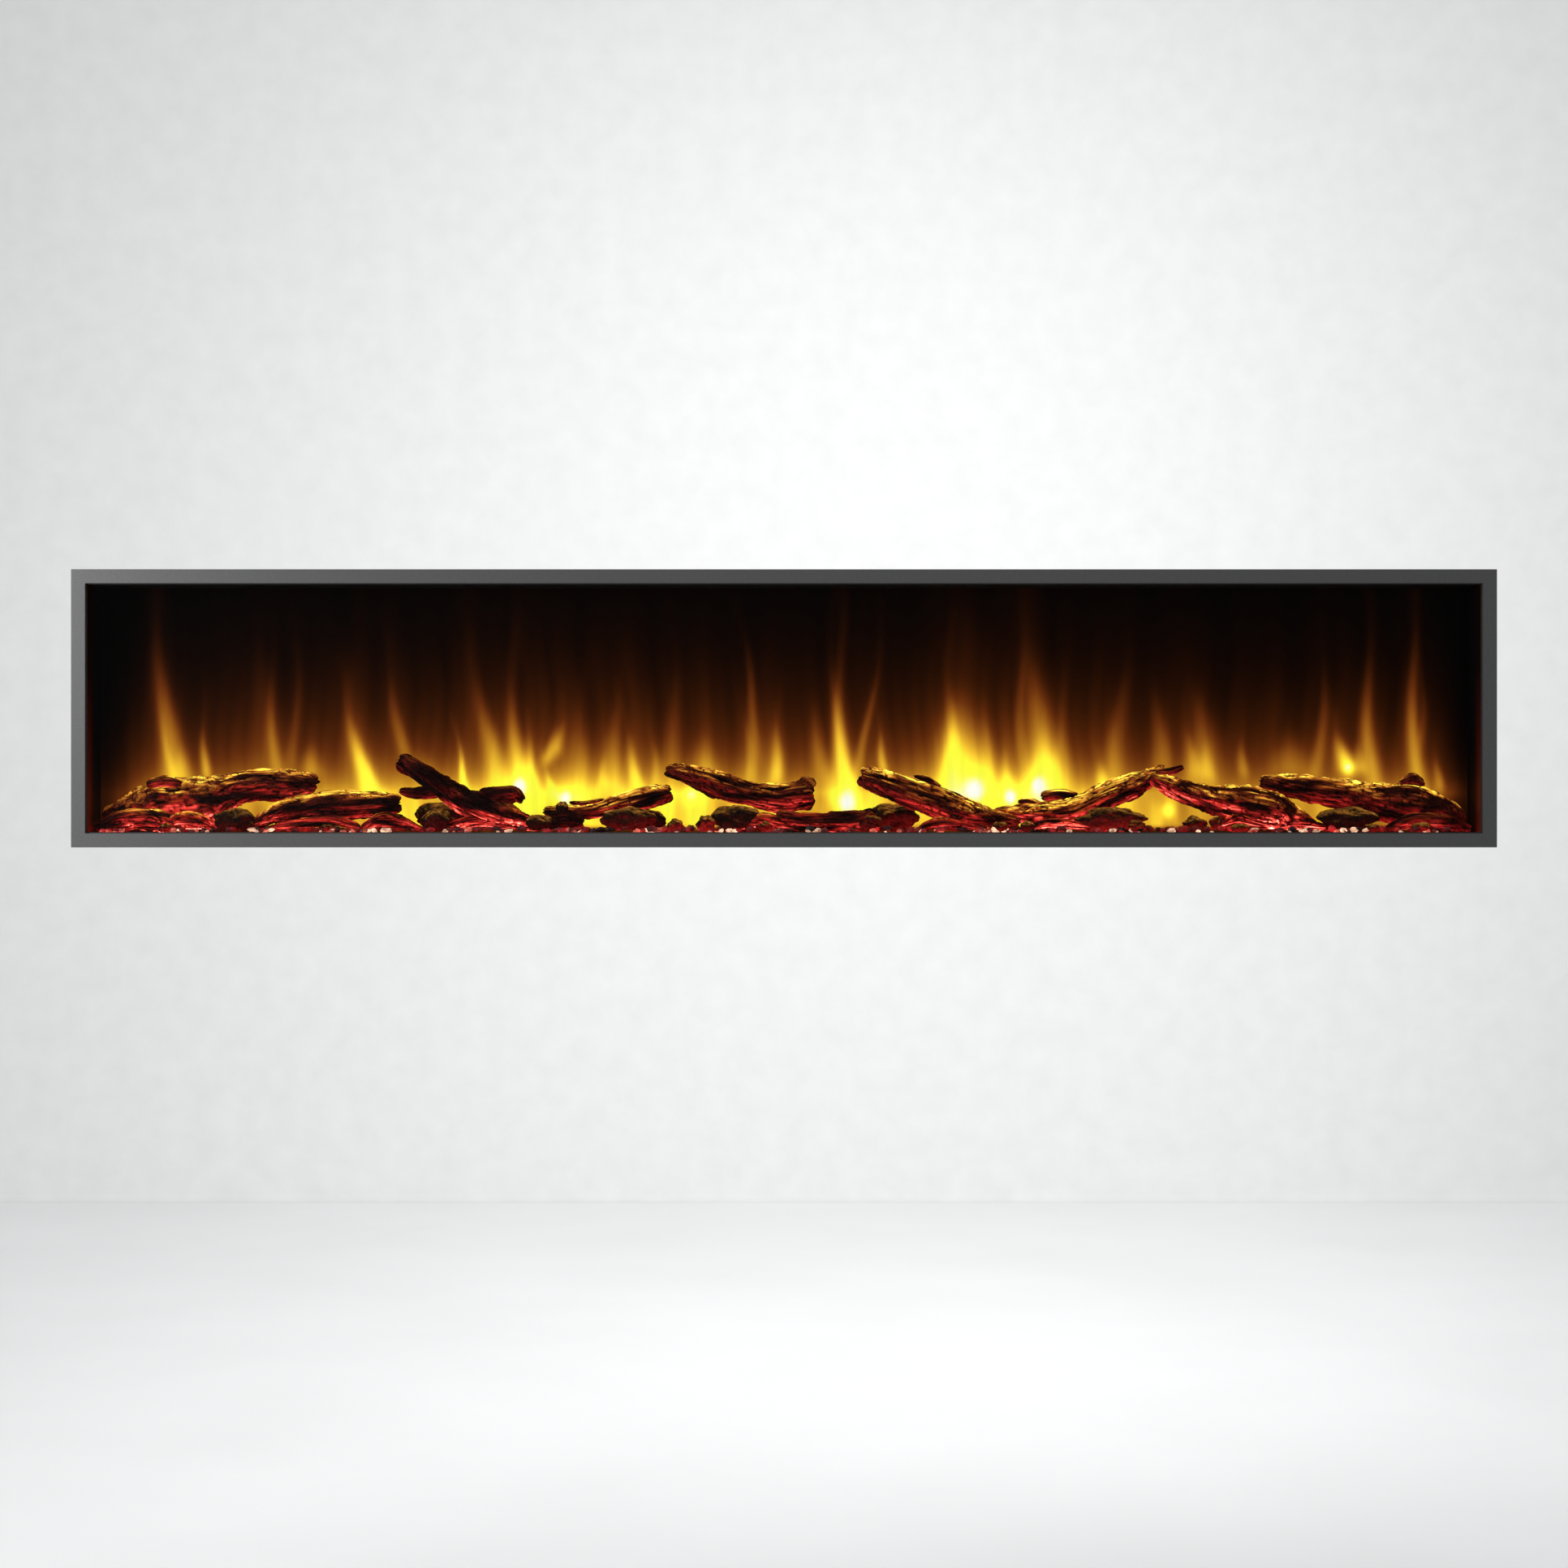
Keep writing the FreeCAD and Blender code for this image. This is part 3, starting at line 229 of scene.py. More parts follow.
# Flame tongues in millimetres: foot x, tip x, foot z, tip z, half-width, strength.
FAINT, SOFT, CLEAR, BRIGHT = 0.11, 0.20, 0.32, 0.50
TONGUES = [
    (-896, -908, -96, 112, 16, CLEAR), (-893, -909, -100, 45, 5, FAINT), (-843, -845, -95, -20, 6, CLEAR),
    (-872, -880, -100, -46, 12, SOFT), (-762, -757, -95, 100, 24, FAINT), (-740, -745, -95, 60, 8, SOFT),
    (-716, -712, -95, 90, 8, FAINT), (-687, -688, -92, -42, 13, SOFT), (-621, -622, -95, 96, 21, FAINT),
    (-606, -633, -118, 2, 12, BRIGHT), (-553, -573, -66, 56, 9, SOFT), (-520, -528, -100, -50, 16, FAINT),
    (-463, -477, -114, -42, 4, BRIGHT), (-421, -445, -110, 50, 15, CLEAR),
    (-386, -392, -140, 34, 14, BRIGHT), (-363, -374, -104, -28, 6, CLEAR),
    (-342, -332, -72, -18, 8, CLEAR), (-327, -323, -60, -8, 6, SOFT), (-332, -348, -128, -82, 5, CLEAR),
    (-302, -292, -124, 12, 16, SOFT), (-246, -242, -112, 22, 12, SOFT), (-262, -262, -112, -60, 6, SOFT),
    (-211, -229, -112, -30, 8, CLEAR), (-187, -192, -108, -36, 7, SOFT),
    (-158, -162, -102, 70, 12, FAINT), (-108, -122, -98, -24, 16, SOFT), (-38, -60, -46, 98, 7, SOFT),
    (-50, -56, -98, -6, 8, SOFT), (-14, -8, -98, -14, 8, CLEAR), (-34, -28, -98, 30, 24, FAINT),
    (70, 74, -102, 84, 8, SOFT), (91, 84, -134, 60, 11, BRIGHT), (60, 44, -98, 22, 11, SOFT),
    (114, 134, -88, 76, 6, SOFT), (147, 137, -88, -24, 5, CLEAR), (262, 262, -118, 34, 34, BRIGHT),
    (239, 243, -104, 46, 11, CLEAR), (292, 294, -104, 24, 10, SOFT), (330, 322, -134, -54, 9, CLEAR),
    (376, 362, -114, 94, 24, CLEAR), (374, 378, -124, -24, 22, CLEAR), (350, 344, -64, 94, 7, FAINT),
    (416, 408, -102, 66, 8, FAINT), (401, 399, -102, -28, 8, FAINT), (469, 458, -116, -72, 9, CLEAR),
    (486, 493, -98, 62, 14, SOFT), (546, 543, -88, 34, 13, SOFT), (612, 598, -94, 38, 24, SOFT),
    (596, 586, -94, -24, 10, SOFT), (622, 612, -98, -36, 9, SOFT), (669, 667, -92, -38, 7, SOFT),
    (742, 732, -90, -26, 24, SOFT), (779, 784, -90, 60, 9, SOFT), (820, 806, -88, -30, 12, BRIGHT),
    (858, 851, -94, 84, 11, CLEAR), (840, 836, -86, -40, 8, SOFT), (926, 916, -99, 108, 10, CLEAR),
    (932, 928, -44, 46, 5, FAINT), (955, 951, -114, -66, 6, CLEAR), (981, 978, -124, -92, 12, SOFT),
]
# Brightest spots in millimetres: x, z, radius.
HOT_SPOTS = [(-386, -111, 9), (-134, -123, 11), (90, -137, 12), (277, -117, 13), (370, -109, 8),
             (-735, -150, 8), (560, -147, 8), (330, -128, 7), (-318, -128, 8), (822, -84, 6)]
# The haze is stronger in two stretches: middle x and half-width in millimetres, and the extra share.
HEARTHS = [(-330, 300, 0.36), (300, 170, 0.44)]


def smooth_step(low, high, value):
    """0 at low and before, 1 at high and past it, smooth between. low may be the larger of the two."""
    t = np.clip((value - low) / (high - low), 0, 1)
    return t * t * (3 - 2 * t)


def drift(x, z, seed):
    """Slow wander of the flames, from a few sine waves."""
    return (np.sin(x * 0.021 + z * 0.017 + seed) + 0.6 * np.sin(x * 0.047 - z * 0.031 + 2.1 * seed)
            + 0.4 * np.sin(x * 0.093 + z * 0.043 + 3.7 * seed))


def haze_heat(x, z):
    """Glow between the flames: two exponentials of height, and a broad swell over each hearth."""
    rising = 0.128 * np.exp(-z / 100) + 0.11 * np.exp(-(z + 85) / 28)
    swell = 0.78 + sum(extra * np.exp(-((x - middle) / half) ** 2) for middle, half, extra in HEARTHS)
    return np.minimum(rising, FULL_HEAT) * swell


def tongue_heat(x, z, tongue):
    """Heat of one flame tongue: a core that narrows and fades towards its tip, and a faint trail over it."""
    foot_x, tip_x, foot_z, tip_z, half, strength = tongue
    tall = tip_z - foot_z
    rise = (z - foot_z) / tall
    climb = np.clip(rise, 0, 1)
    sway = 0.035 * tall * np.sin(rise * 3.6 + foot_x * 0.37)
    middle = foot_x + (tip_x - foot_x) * np.clip(rise, -0.3, 1.6) + sway
    wide = half * (1.12 - 0.78 * climb ** 1.2) + 0.8
    side = (x - middle) / wide
    core = np.exp(-np.abs(side) ** 2.2) * (1.14 - 0.45 * climb)
    core = core * smooth_step(-0.35, 0.15, rise) * (1 - smooth_step(0.2, 1.15, rise))
    trail = np.exp(-(side * 0.55) ** 2)
    trail = trail * smooth_step(-0.1, 0.5, rise) * (1 - smooth_step(0.6, 2.3, rise))
    return strength * (core + 0.13 * trail)


def spot_heat(x, z, spot):
    """Heat of one hot spot: a small bright middle and a wide faint ring."""
    spot_x, spot_z, radius = spot
    away = ((x - spot_x) ** 2 + ((z - spot_z) * 0.8) ** 2) / radius ** 2
    return 0.42 * np.exp(-away) + 0.10 * np.exp(-away / 8)


def flame_heat(x, z):
    """Heat of the painted flame light at points in millimetres: 0 is black and 1 is bright yellow."""
    above = smooth_step(-120, 10, z)
    bent = x + 5 * np.sin(z * 0.024 + x * 0.004)
    streaks = 0.5 * drift(bent * 2.6, z * 0.15, 1.3) + 0.3 * drift(bent * 6.1, z * 0.3, 4.2)
    heat = haze_heat(x, z) * (1 + 0.20 * streaks * (0.35 + 0.65 * above))
    for tongue in TONGUES:
        heat = heat + tongue_heat(x, z, tongue)
    crowded = 0.9
    heat = np.where(heat > crowded, crowded + 0.45 * (heat - crowded), heat)
    for spot in HOT_SPOTS:
        heat = heat + spot_heat(x, z, spot)
    low_pool = smooth_step(-104, -134, z) * 0.07 * drift(x * 2.2, z * 1.5, 0.4)
    ends = smooth_step(-1000, -900, x) * (1 - smooth_step(920, 1000, x))
    under_bed = smooth_step(-179, -166, z)
    return np.clip(heat + low_pool, 0, 1.5) * (0.15 + 0.85 * ends) * (0.12 + 0.88 * under_bed)


def flame_color(heat):
    """Linear red, green and blue: red first, then green makes it yellow, and blue whitens the hottest."""
    share = heat / FULL_HEAT
    red = np.minimum(1, share ** 1.9)
    green = np.clip(0.62 * share ** 2.9, 0.2 * red, 1)
    blue = np.clip(0.032 * share ** 2.2 + 0.85 * smooth_step(1.1, 1.6, heat), 0, 1)
    return np.stack([red, green, blue], axis=1)


def glowing(name, rough, grain, detail, shine, grain_map=None, stretch=(1, 1, 1)):
    """Surface whose colour and light come from its mesh, broken up by a fine grain.

    grain_map names the mesh attribute that the grain follows; without one it follows the object.
    """
    material, tree, shader = new_material(name)
    base = node(tree, "ShaderNodeAttribute")
    base.attribute_name = "base"
    glow = node(tree, "ShaderNodeAttribute")
    glow.attribute_name = "glow"
    if grain_map:
        lay = node(tree, "ShaderNodeAttribute")
        lay.attribute_name = grain_map
        mapping = node(tree, "ShaderNodeMapping")
        mapping.inputs["Scale"].default_value = stretch
        tree.links.new(lay.outputs["Vector"], mapping.inputs["Vector"])
        texture = node(tree, "ShaderNodeTexNoise", Scale=grain, Detail=4.0, Roughness=0.65)
        tree.links.new(mapping.outputs["Vector"], texture.inputs["Vector"])
        fine = texture.outputs["Fac"]
    else:
        fine = noise_value(tree, grain, 4.0, stretch, 0.6)
    span = node(tree, "ShaderNodeMapRange")
    span.inputs["From Min"].default_value = 0.35
    span.inputs["From Max"].default_value = 0.65
    span.inputs["To Min"].default_value = 1 - detail
    span.inputs["To Max"].default_value = 1 + detail
    tree.links.new(fine, span.inputs["Value"])
    for source, target in ((base, "Base Color"), (glow, "Emission Color")):
        scaled = node(tree, "ShaderNodeVectorMath")
        scaled.operation = "SCALE"
        tree.links.new(source.outputs["Color"], scaled.inputs[0])
        tree.links.new(span.outputs["Result"], scaled.inputs["Scale"])
        tree.links.new(scaled.outputs["Vector"], shader.inputs[target])
    shader.inputs["Emission Strength"].default_value = GLASS_GAIN
    shader.inputs["Roughness"].default_value = rough
    shader.inputs["Specular IOR Level"].default_value = shine
    add_bump(tree, shader, fine, 0.3)
    material.cycles.emission_sampling = "NONE"
    return material


def make_flame_screen():
    """The smoked screen, as a closed slab whose front carries the flame light, painted on as glow."""
    low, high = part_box("flame_screen")
    step = 0.0031
    columns = int((high.x - low.x) / step)
    rows = int((high.z - low.z) / step)
    xs = np.linspace(low.x, high.x, columns + 1)
    zs = np.linspace(low.z, high.z, rows + 1)
    grid_x, grid_z = np.meshgrid(xs, zs)
    front = np.stack([grid_x.ravel(), np.full(grid_x.size, low.y), grid_z.ravel()], axis=1)
    corners = np.array([(low.x, high.y, low.z), (high.x, high.y, low.z), (high.x, high.y, high.z),
                        (low.x, high.y, high.z)])
    wide = columns + 1
    faces = [(j * wide + i, j * wide + i + 1, (j + 1) * wide + i + 1, (j + 1) * wide + i)
             for j in range(rows) for i in range(columns)]
    base = len(front)
    bottom = list(range(wide))
    top = [rows * wide + i for i in range(wide)]
    left = [j * wide for j in range(rows + 1)]
    right = [j * wide + columns for j in range(rows + 1)]
    faces.append([base + 1, *bottom[::-1], base])
    faces.append([base + 3, *top, base + 2])
    faces.append([base, *left, base + 3])
    faces.append([base + 2, *right[::-1], base + 1])
    faces.append([base, base + 3, base + 2, base + 1])
    screen = mesh_object("painted_flame_glow", np.vstack([front, corners]), faces)
    heat = flame_heat(front[:, 0] * 1000, front[:, 2] * 1000)
    glow = np.zeros((len(front) + len(corners), 3))
    glow[:len(front)] = flame_color(heat)
    color_attribute(screen, "glow", glow)
    color_attribute(screen, "base", np.full((len(glow), 3), 0.0015))
    screen.data.materials.append(glowing("flame_light", 0.5, 90, 0.05, 0.0, stretch=(1, 1, 0.12)))
    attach(screen, "root")
    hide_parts("flame_screen")


# ---------------------------------------------------------------- driftwood logs

# Centre lines in millimetres: (x, z, half-thickness), and the depth of each log.
LOGS = {
    "log_1": (-100, [(-980, -157, 12), (-936, -148, 28), (-890, -138, 37), (-831, -130, 33), (-779, -113, 23),
                     (-726, -108, 22), (-676, -107, 15)]),
    "log_2": (-116, [(-758, -164, 9), (-720, -148, 16), (-662, -139, 19), (-604, -138, 19),
                     (-553, -136, 14)]),
    "log_3": (-116, [(-553, -74, 14), (-510, -99, 18), (-463, -130, 21), (-417, -148, 23), (-376, -162, 13),
                     (-349, -171, 6)]),
    "log_4": (-86, [(-347, -147, 7), (-282, -148, 11), (-237, -137, 15), (-196, -127, 16), (-165, -120, 13)]),
    "log_5": (-86, [(-170, -88, 9), (-136, -95, 16), (-95, -109, 21), (-55, -120, 18), (-8, -128, 21),
                    (42, -122, 22)]),
    "log_6": (-116, [(111, -95, 14), (144, -107, 20), (191, -124, 23), (237, -140, 23), (284, -154, 16),
                     (337, -165, 9)]),
    "log_7": (-86, [(304, -151, 9), (357, -151, 15), (416, -148, 21), (463, -127, 21), (510, -108, 19),
                    (551, -87, 9)]),
    "log_8": (-116, [(527, -99, 9), (565, -115, 17), (611, -130, 21), (658, -136, 26), (705, -145, 26),
                     (746, -162, 14), (766, -169, 8)]),
    "log_9": (-86, [(692, -104, 10), (745, -113, 18), (804, -122, 21), (863, -134, 28), (922, -142, 30),
                    (969, -155, 19), (985, -162, 9)]),
}
SHORT_LOGS = [
    (-116, [(-338, -162, 11), (-315, -160, 16), (-289, -162, 11)]),
    (-116, [(-10, -158, 12), (39, -163, 13), (91, -161, 15), (130, -157, 13)]),
]
# Stubs, knobs and splinters that belong to a log.
STUBS = {
    "log_1": [(-108, [(-917, -108, 7), (-895, -104, 9), (-868, -108, 7)]),
              (-108, [(-905, -124, 9), (-893, -125, 10), (-884, -127, 8)]),
              (-118, [(-990, -170, 6), (-955, -160, 13), (-915, -158, 15), (-862, -168, 8)]),
              (-118, [(-900, -170, 5), (-866, -160, 12), (-838, -162, 11), (-815, -172, 5)])],
    "log_2": [(-123, [(-738, -171, 4), (-700, -165, 7), (-650, -160, 8), (-610, -169, 5)]),
              (-123, [(-606, -171, 5), (-578, -159, 11), (-548, -162, 9), (-522, -172, 4)])],
    "log_3": [(-112, [(-436, -121, 9), (-418, -125, 13), (-388, -124, 13), (-376, -131, 10)]),
              (-112, [(-552, -118, 6), (-530, -121, 9), (-504, -119, 10), (-476, -120, 8)]),
              (-120, [(-480, -168, 6), (-440, -162, 10), (-400, -166, 8), (-372, -172, 4)])],
    "log_4": [(-86, [(-310, -135, 3), (-290, -136, 4), (-262, -131, 3)])],
    "log_5": [(-84, [(24, -113, 13), (32, -112, 15), (40, -116, 14)]),
              (-120, [(-64, -171, 5), (-34, -160, 11), (-4, -164, 9), (22, -172, 4)])],
    "log_6": [(-112, [(188, -98, 4), (206, -102, 6), (224, -112, 5)]),
              (-120, [(196, -171, 5), (226, -163, 9), (262, -166, 7), (290, -172, 4)])],
    "log_7": [(-88, [(374, -126, 7), (398, -123, 8), (424, -125, 6)]),
              (-88, [(340, -134, 4), (356, -133, 5), (370, -136, 4)]),
              (-118, [(352, -171, 4), (384, -165, 7), (420, -168, 6), (446, -172, 4)])],
    "log_8": [(-116, [(536, -92, 4), (556, -90, 6), (573, -84, 5)]),
              (-121, [(628, -164, 6), (650, -156, 9), (680, -164, 7), (720, -171, 4)]),
              (-121, [(700, -170, 6), (736, -163, 10), (776, -170, 5)])],
    "log_9": [(-86, [(893, -107, 6), (910, -101, 9), (926, -108, 8)]),
              (-112, [(868, -171, 5), (905, -162, 11), (950, -164, 11), (988, -172, 5)])],
}


def smooth_path(points, count):
    """Catmull-Rom samples through rows of numbers."""
    rows = np.array(points, float)
    padded = np.vstack([2 * rows[0] - rows[1], rows, 2 * rows[-1] - rows[-2]])
    lengths = np.linalg.norm(np.diff(rows[:, :2], axis=0), axis=1)
    marks = np.concatenate([[0], np.cumsum(lengths)])
    samples = []
    for mark in np.linspace(0, marks[-1], count):
        i = min(int(np.searchsorted(marks, mark, side="right")) - 1, len(rows) - 2)
        t = (mark - marks[i]) / lengths[i]
        a, b, c, d = padded[i:i + 4]
        samples.append(0.5 * (2 * b + (c - a) * t + (2 * a - 5 * b + 4 * c - d) * t * t
                              + (3 * b - a - 3 * c + d) * t ** 3))
    return np.array(samples), marks[-1]


def ridge(value, width):
    """1 on a crack's line, falling to 0 at its width."""
    return max(0.0, 1 - abs(value) / width)


def bark(along, end, side, rise, radius, past_middle, seed):
    """One point of a log's skin: how far out it lies, how far it slides along the log, and its marks.

    end is the distance to the nearer end, and past_middle is below 0 in the first half of the log.
    """
    across, up = side * radius, rise * radius
    soft = min(1.0, radius / 12)
    twist = along * 0.012
    spot = Vector((along * 0.012 + seed * 7.3, across * 0.07, up * 0.07 + seed))
    warp = 1.8 * noise.noise(spot * 1.5)
    fibre = noise.noise(Vector((along * 0.008 + seed, across * 0.17 + warp + twist, up * 0.17 + warp)))
    groove = noise.noise(Vector((along * 0.012 + 5 * seed, across * 0.33 + warp, up * 0.33)))
    fine = noise.noise(Vector((along * 0.030 + 3 * seed, across * 0.75, up * 0.75 + warp)))
    streak = noise.noise(Vector((along * 0.013 + seed, across * 0.40, up * 0.40 + warp)))
    lump = noise.noise(spot * 2.6)
    char = noise.noise(spot * 1.25 + Vector((9, 4, seed)))
    crack = max(ridge(fibre, 0.10), 0.85 * ridge(groove, 0.10), 0.45 * ridge(fine, 0.15))
    shift = soft * (0.17 * radius * lump + 2.4 * fibre + 1.2 * groove + 0.7 * fine - 2.8 * crack)
    reach = (radius + shift) * (1 - 0.25 * max(0.0, 1 - end / 6.0) ** 2)
    splinter = noise.noise(Vector((side * 2.6, rise * 2.6, seed + (0 if past_middle < 0 else 5))))
    nudge = 6.0 * soft * splinter * max(0.0, 1 - end / 16.0) * (1 if past_middle > 0 else -1)
    return reach, nudge, (crack, char, end, rise, streak)


def close_end(log, start, sample, way, depth, ring, seed):
    """Close a log at the ring that starts at one vertex, with two rough smaller rings and a middle point.

    way points out of the log along its centre line.
    """
    verts, faces, marks, grain = log
    x, z, half = sample
    dx, dz = way
    middle = np.array((x, depth, z))
    at_foot = start == 0
    previous = start
    for scale, sink in ((0.72, 0.6), (0.38, -1.2)):
        first = len(verts)
        for k in range(ring):
            rough = 2.2 * noise.noise(Vector((k * 0.35, scale * 9, seed)))
            rim = np.array(verts[start + k])
            verts.append(tuple(middle + (rim - middle) * scale + np.array((dx, 0, dz)) * (sink + rough)))
            gap = 0.6 * ridge(noise.noise(Vector((k * 0.4, scale * 14, seed))), 0.3)
            marks.append((gap, 0.5, 0.0, math.sin(2 * math.pi * k / ring) * scale, 0.0))
            grain.append((0.0, half * scale * 2, k * 1.5))
        for k in range(ring):
            n = (k + 1) % ring
            quad = (previous + k, first + k, first + n, previous + n)
            faces.append(quad[::-1] if at_foot else quad)
        previous = first
    verts.append((x + dx * -1.5, depth, z + dz * -1.5))
    marks.append((0.4, 0.5, 0.0, 0.0, 0.0))
    grain.append((0.0, 0.0, 0.0))
    for k in range(ring):
        n = (k + 1) % ring
        fan = (previous + k, len(verts) - 1, previous + n)
        faces.append(fan[::-1] if at_foot else fan)


def wood_tube(depth, spine, seed, ring=72, step=1.6):
    """One piece of driftwood in millimetres: verts, faces, marks and grain coordinates."""
    span = np.hypot(spine[-1][0] - spine[0][0], spine[-1][1] - spine[0][1])
    samples, length = smooth_path(spine, max(8, int(span / step)))
    direction = np.gradient(samples[:, :2], axis=0)
    direction /= np.linalg.norm(direction, axis=1)[:, None]
    count = len(samples)
    verts, faces, marks, grain = [], [], [], []
    for i, (x, z, half) in enumerate(samples):
        along = length * i / (count - 1)
        end = min(along, length - along)
        dx, dz = direction[i]
        radius = max(2.0, half * max(0.6, abs(dx)))
        deep = min(0.85 * radius, 15.0)
        for k in range(ring):
            turn = 2 * math.pi * k / ring
            side, rise = math.cos(turn), math.sin(turn)
            reach, nudge, mark = bark(along, end, side, rise, radius, i - count / 2, seed)
            verts.append((x - dz * reach * rise + dx * nudge, depth + side * (deep / radius) * reach,
                          z + dx * reach * rise + dz * nudge))
            marks.append(mark)
            grain.append((along, side * radius, rise * radius + 40 * seed))
    for i in range(count - 1):
        for k in range(ring):
            n = (k + 1) % ring
            faces.append((i * ring + k, i * ring + n, (i + 1) * ring + n, (i + 1) * ring + k))
    log = (verts, faces, marks, grain)
    close_end(log, 0, samples[0], -direction[0], depth, ring, seed)
    close_end(log, (count - 1) * ring, samples[-1], direction[-1], depth, ring, seed)
    return log


def flame_near(x):
    """How bright the flames stand over a place along X, for the light on what is below them."""
    flame_foot = -92.0
    return np.clip(flame_heat(x, np.full_like(x, flame_foot)) * 1.5, 0.3, 1.0)


# How each log takes the light: amber on top, red below, how far down the amber reaches, and char.
WOOD_LIGHT = {
    "log_1": (0.95, 1.25, 0.30, 0.06), "log_2": (0.85, 0.75, 0.40, 0.24), "log_3": (0.22, 1.15, 0.45, 0.36),
    "log_4": (1.05, 0.90, 0.05, 0.08), "log_5": (0.75, 0.85, 0.15, 0.10), "log_6": (1.30, 0.62, 0.00, 0.12),
    "log_7": (1.10, 1.35, -0.05, 0.10), "log_8": (1.00, 1.70, 0.15, 0.10), "log_9": (1.10, 0.50, 0.28, 0.16),
    "short_logs": (0.22, 0.60, 0.40, 0.36),
}
# Places where a log is made dark, with its painted glow put out and its colour near black, in millimetres: x,
# z, half-wide, half-high.
DARK_PATCHES = [
    (-694, -107, 27, 12), (-905, -126, 9, 8), (-975, -160, 30, 22), (-700, -142, 34, 9),
    (-640, -150, 40, 6), (-505, -100, 66, 34), (-425, -126, 46, 20), (-760, -127, 38, 8),
    (-310, -160, 34, 14), (80, -154, 30, 10), (20, -104, 14, 8), (235, -132, 26, 8),
    (300, -158, 22, 10), (505, -120, 24, 6), (575, -108, 18, 6), (724, -138, 10, 18),
    (770, -106, 40, 5), (835, -140, 22, 7), (940, -138, 30, 14), (968, -160, 24, 16), (-60, -108, 18, 6),
]
# Colours in linear light. The hot ones are added where the light is strong.
AMBER_LIGHT, HOT_AMBER = (0.98, 0.10, 0.016), (0.0, 0.42, 0.030)
RED_LIGHT, HOT_RED = (0.74, 0.011, 0.013), (0.38, 0.070, 0.045)
STRAY_LIGHT = (1.0, 0.08, 0.05)
BARE_WOOD, DARK_WOOD = (0.030, 0.013, 0.006), (0.006, 0.005, 0.004)


def dark_share(spots, char, bias):
    """How dark the wood is at each point: by its char noise, and fully in the listed dark places."""
    darkened = smooth_step(0.02, 0.34, char - 0.24 + bias)
    for x, z, wide, high in DARK_PATCHES:
        away = ((spots[:, 0] - x) / wide) ** 2 + ((spots[:, 2] - z) / high) ** 2
        darkened = np.maximum(darkened, np.exp(-away ** 2))
    return darkened


def paint_wood(piece, marks, light):
    """Painted amber light from the flames on top, painted red light from the embers below, painted shade in
    the cracks, and char and dark places where the glow is put out.
    """
    spots = np.empty(len(piece.data.vertices) * 3)
    piece.data.vertices.foreach_get("co", spots)
    spots = spots.reshape(-1, 3) * 1000
    normals = vertex_normals(piece)
    crack, char, end, rise, streak = np.array(marks).T
    amber_share, red_share, divide, char_bias = light
    darkened = dark_share(spots, char, char_bias)
    # Painted shade in the cracks: lit falls towards 0 on a crack's line and darkens the glow and the colour
    # there.
    lit = 1 - 0.97 * smooth_step(0.05, 0.75, crack)
    fibres = np.clip(0.60 + 1.9 * streak, 0.05, 1.6)
    patches = np.clip(0.95 - 1.9 * char, 0.12, 1.5)
    char_end = smooth_step(11, 2, end)
    above_bed = smooth_step(-164, -136, spots[:, 2])
    near_bed = np.exp(-np.clip(spots[:, 2] + 176, 0, None) / 52)

    upward = np.clip(normals @ np.array((0.0, -0.10, 0.995)) * 0.75 + 0.42, 0, 1)
    high_side = smooth_step(divide - 0.25, divide + 0.55, rise + 0.35 * streak)
    amber = amber_share * high_side * upward * flame_near(spots[:, 0]) * (0.10 + 0.90 * above_bed)
    amber = amber * (1 - 0.95 * darkened) * (1 - 0.6 * char_end) * (0.5 + 0.5 * patches) * lit * fibres
    # Painted highlight along the top edge of each log.
    edge = smooth_step(0.70, 0.98, rise) * (1 - 0.85 * darkened) * lit * np.clip(fibres, 0.3, 1.2)
    amber = amber + 0.55 * edge * amber_share * (0.1 + 0.9 * above_bed)

    downward = np.clip(normals @ np.array((0.0, -0.45, -0.90)) * 0.8 + 0.35, 0, 1)
    downward = np.maximum(downward, 0.7 * (1 - above_bed))
    low_side = smooth_step(divide + 0.30, divide - 0.45, rise + 0.35 * streak)
    low_side = np.maximum(low_side, 0.9 * (1 - above_bed))
    red = red_share * low_side * downward * (0.10 + near_bed) * patches
    red = red * (1 - 0.93 * darkened) * (1 - 0.4 * char_end) * lit * fibres

    glow = tinted(amber, AMBER_LIGHT) + tinted(amber ** 1.7, HOT_AMBER)
    glow += tinted(red, RED_LIGHT) + tinted(red ** 3, HOT_RED)
    glow += tinted(0.028 * lit * (1 - 0.8 * darkened), STRAY_LIGHT)
    pale = tinted(1 - darkened, BARE_WOOD) + tinted(darkened, DARK_WOOD)
    color_attribute(piece, "glow", glow)
    # The colour is darkened in the cracks as well, by the same painted shade.
    color_attribute(piece, "base", pale * (0.12 + 0.88 * lit[:, None]))


def wood_piece(name, parts, replaced, material, seed):
    verts, faces, marks, grain = [], [], [], []
    for i, (depth, spine) in enumerate(parts):
        part_verts, part_faces, part_marks, part_grain = wood_tube(depth, spine, seed + 1.7 * i)
        first = len(verts)
        verts += part_verts
        faces += [tuple(first + v for v in face) for face in part_faces]
        marks += part_marks
        grain += part_grain
    piece = mesh_object(name, np.array(verts) / 1000, faces, smooth=True)
    vector_attribute(piece, "grain", grain)
    paint_wood(piece, marks, WOOD_LIGHT[replaced])
    piece.data.materials.append(material)
    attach(piece, "root")
    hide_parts(replaced)


def make_logs():
    material = glowing("driftwood", 0.85, 0.36, 0.8, 0.06, "grain", (0.09, 1, 1))
    for i, (name, log) in enumerate(LOGS.items()):
        wood_piece(f"driftwood_{i + 1}", [log] + STUBS.get(name, []), name, material, 1.0 + 3.1 * i)
    wood_piece("driftwood_short", SHORT_LOGS, "short_logs", material, 40.0)


# ---------------------------------------------------------------- stones, coals and crystals

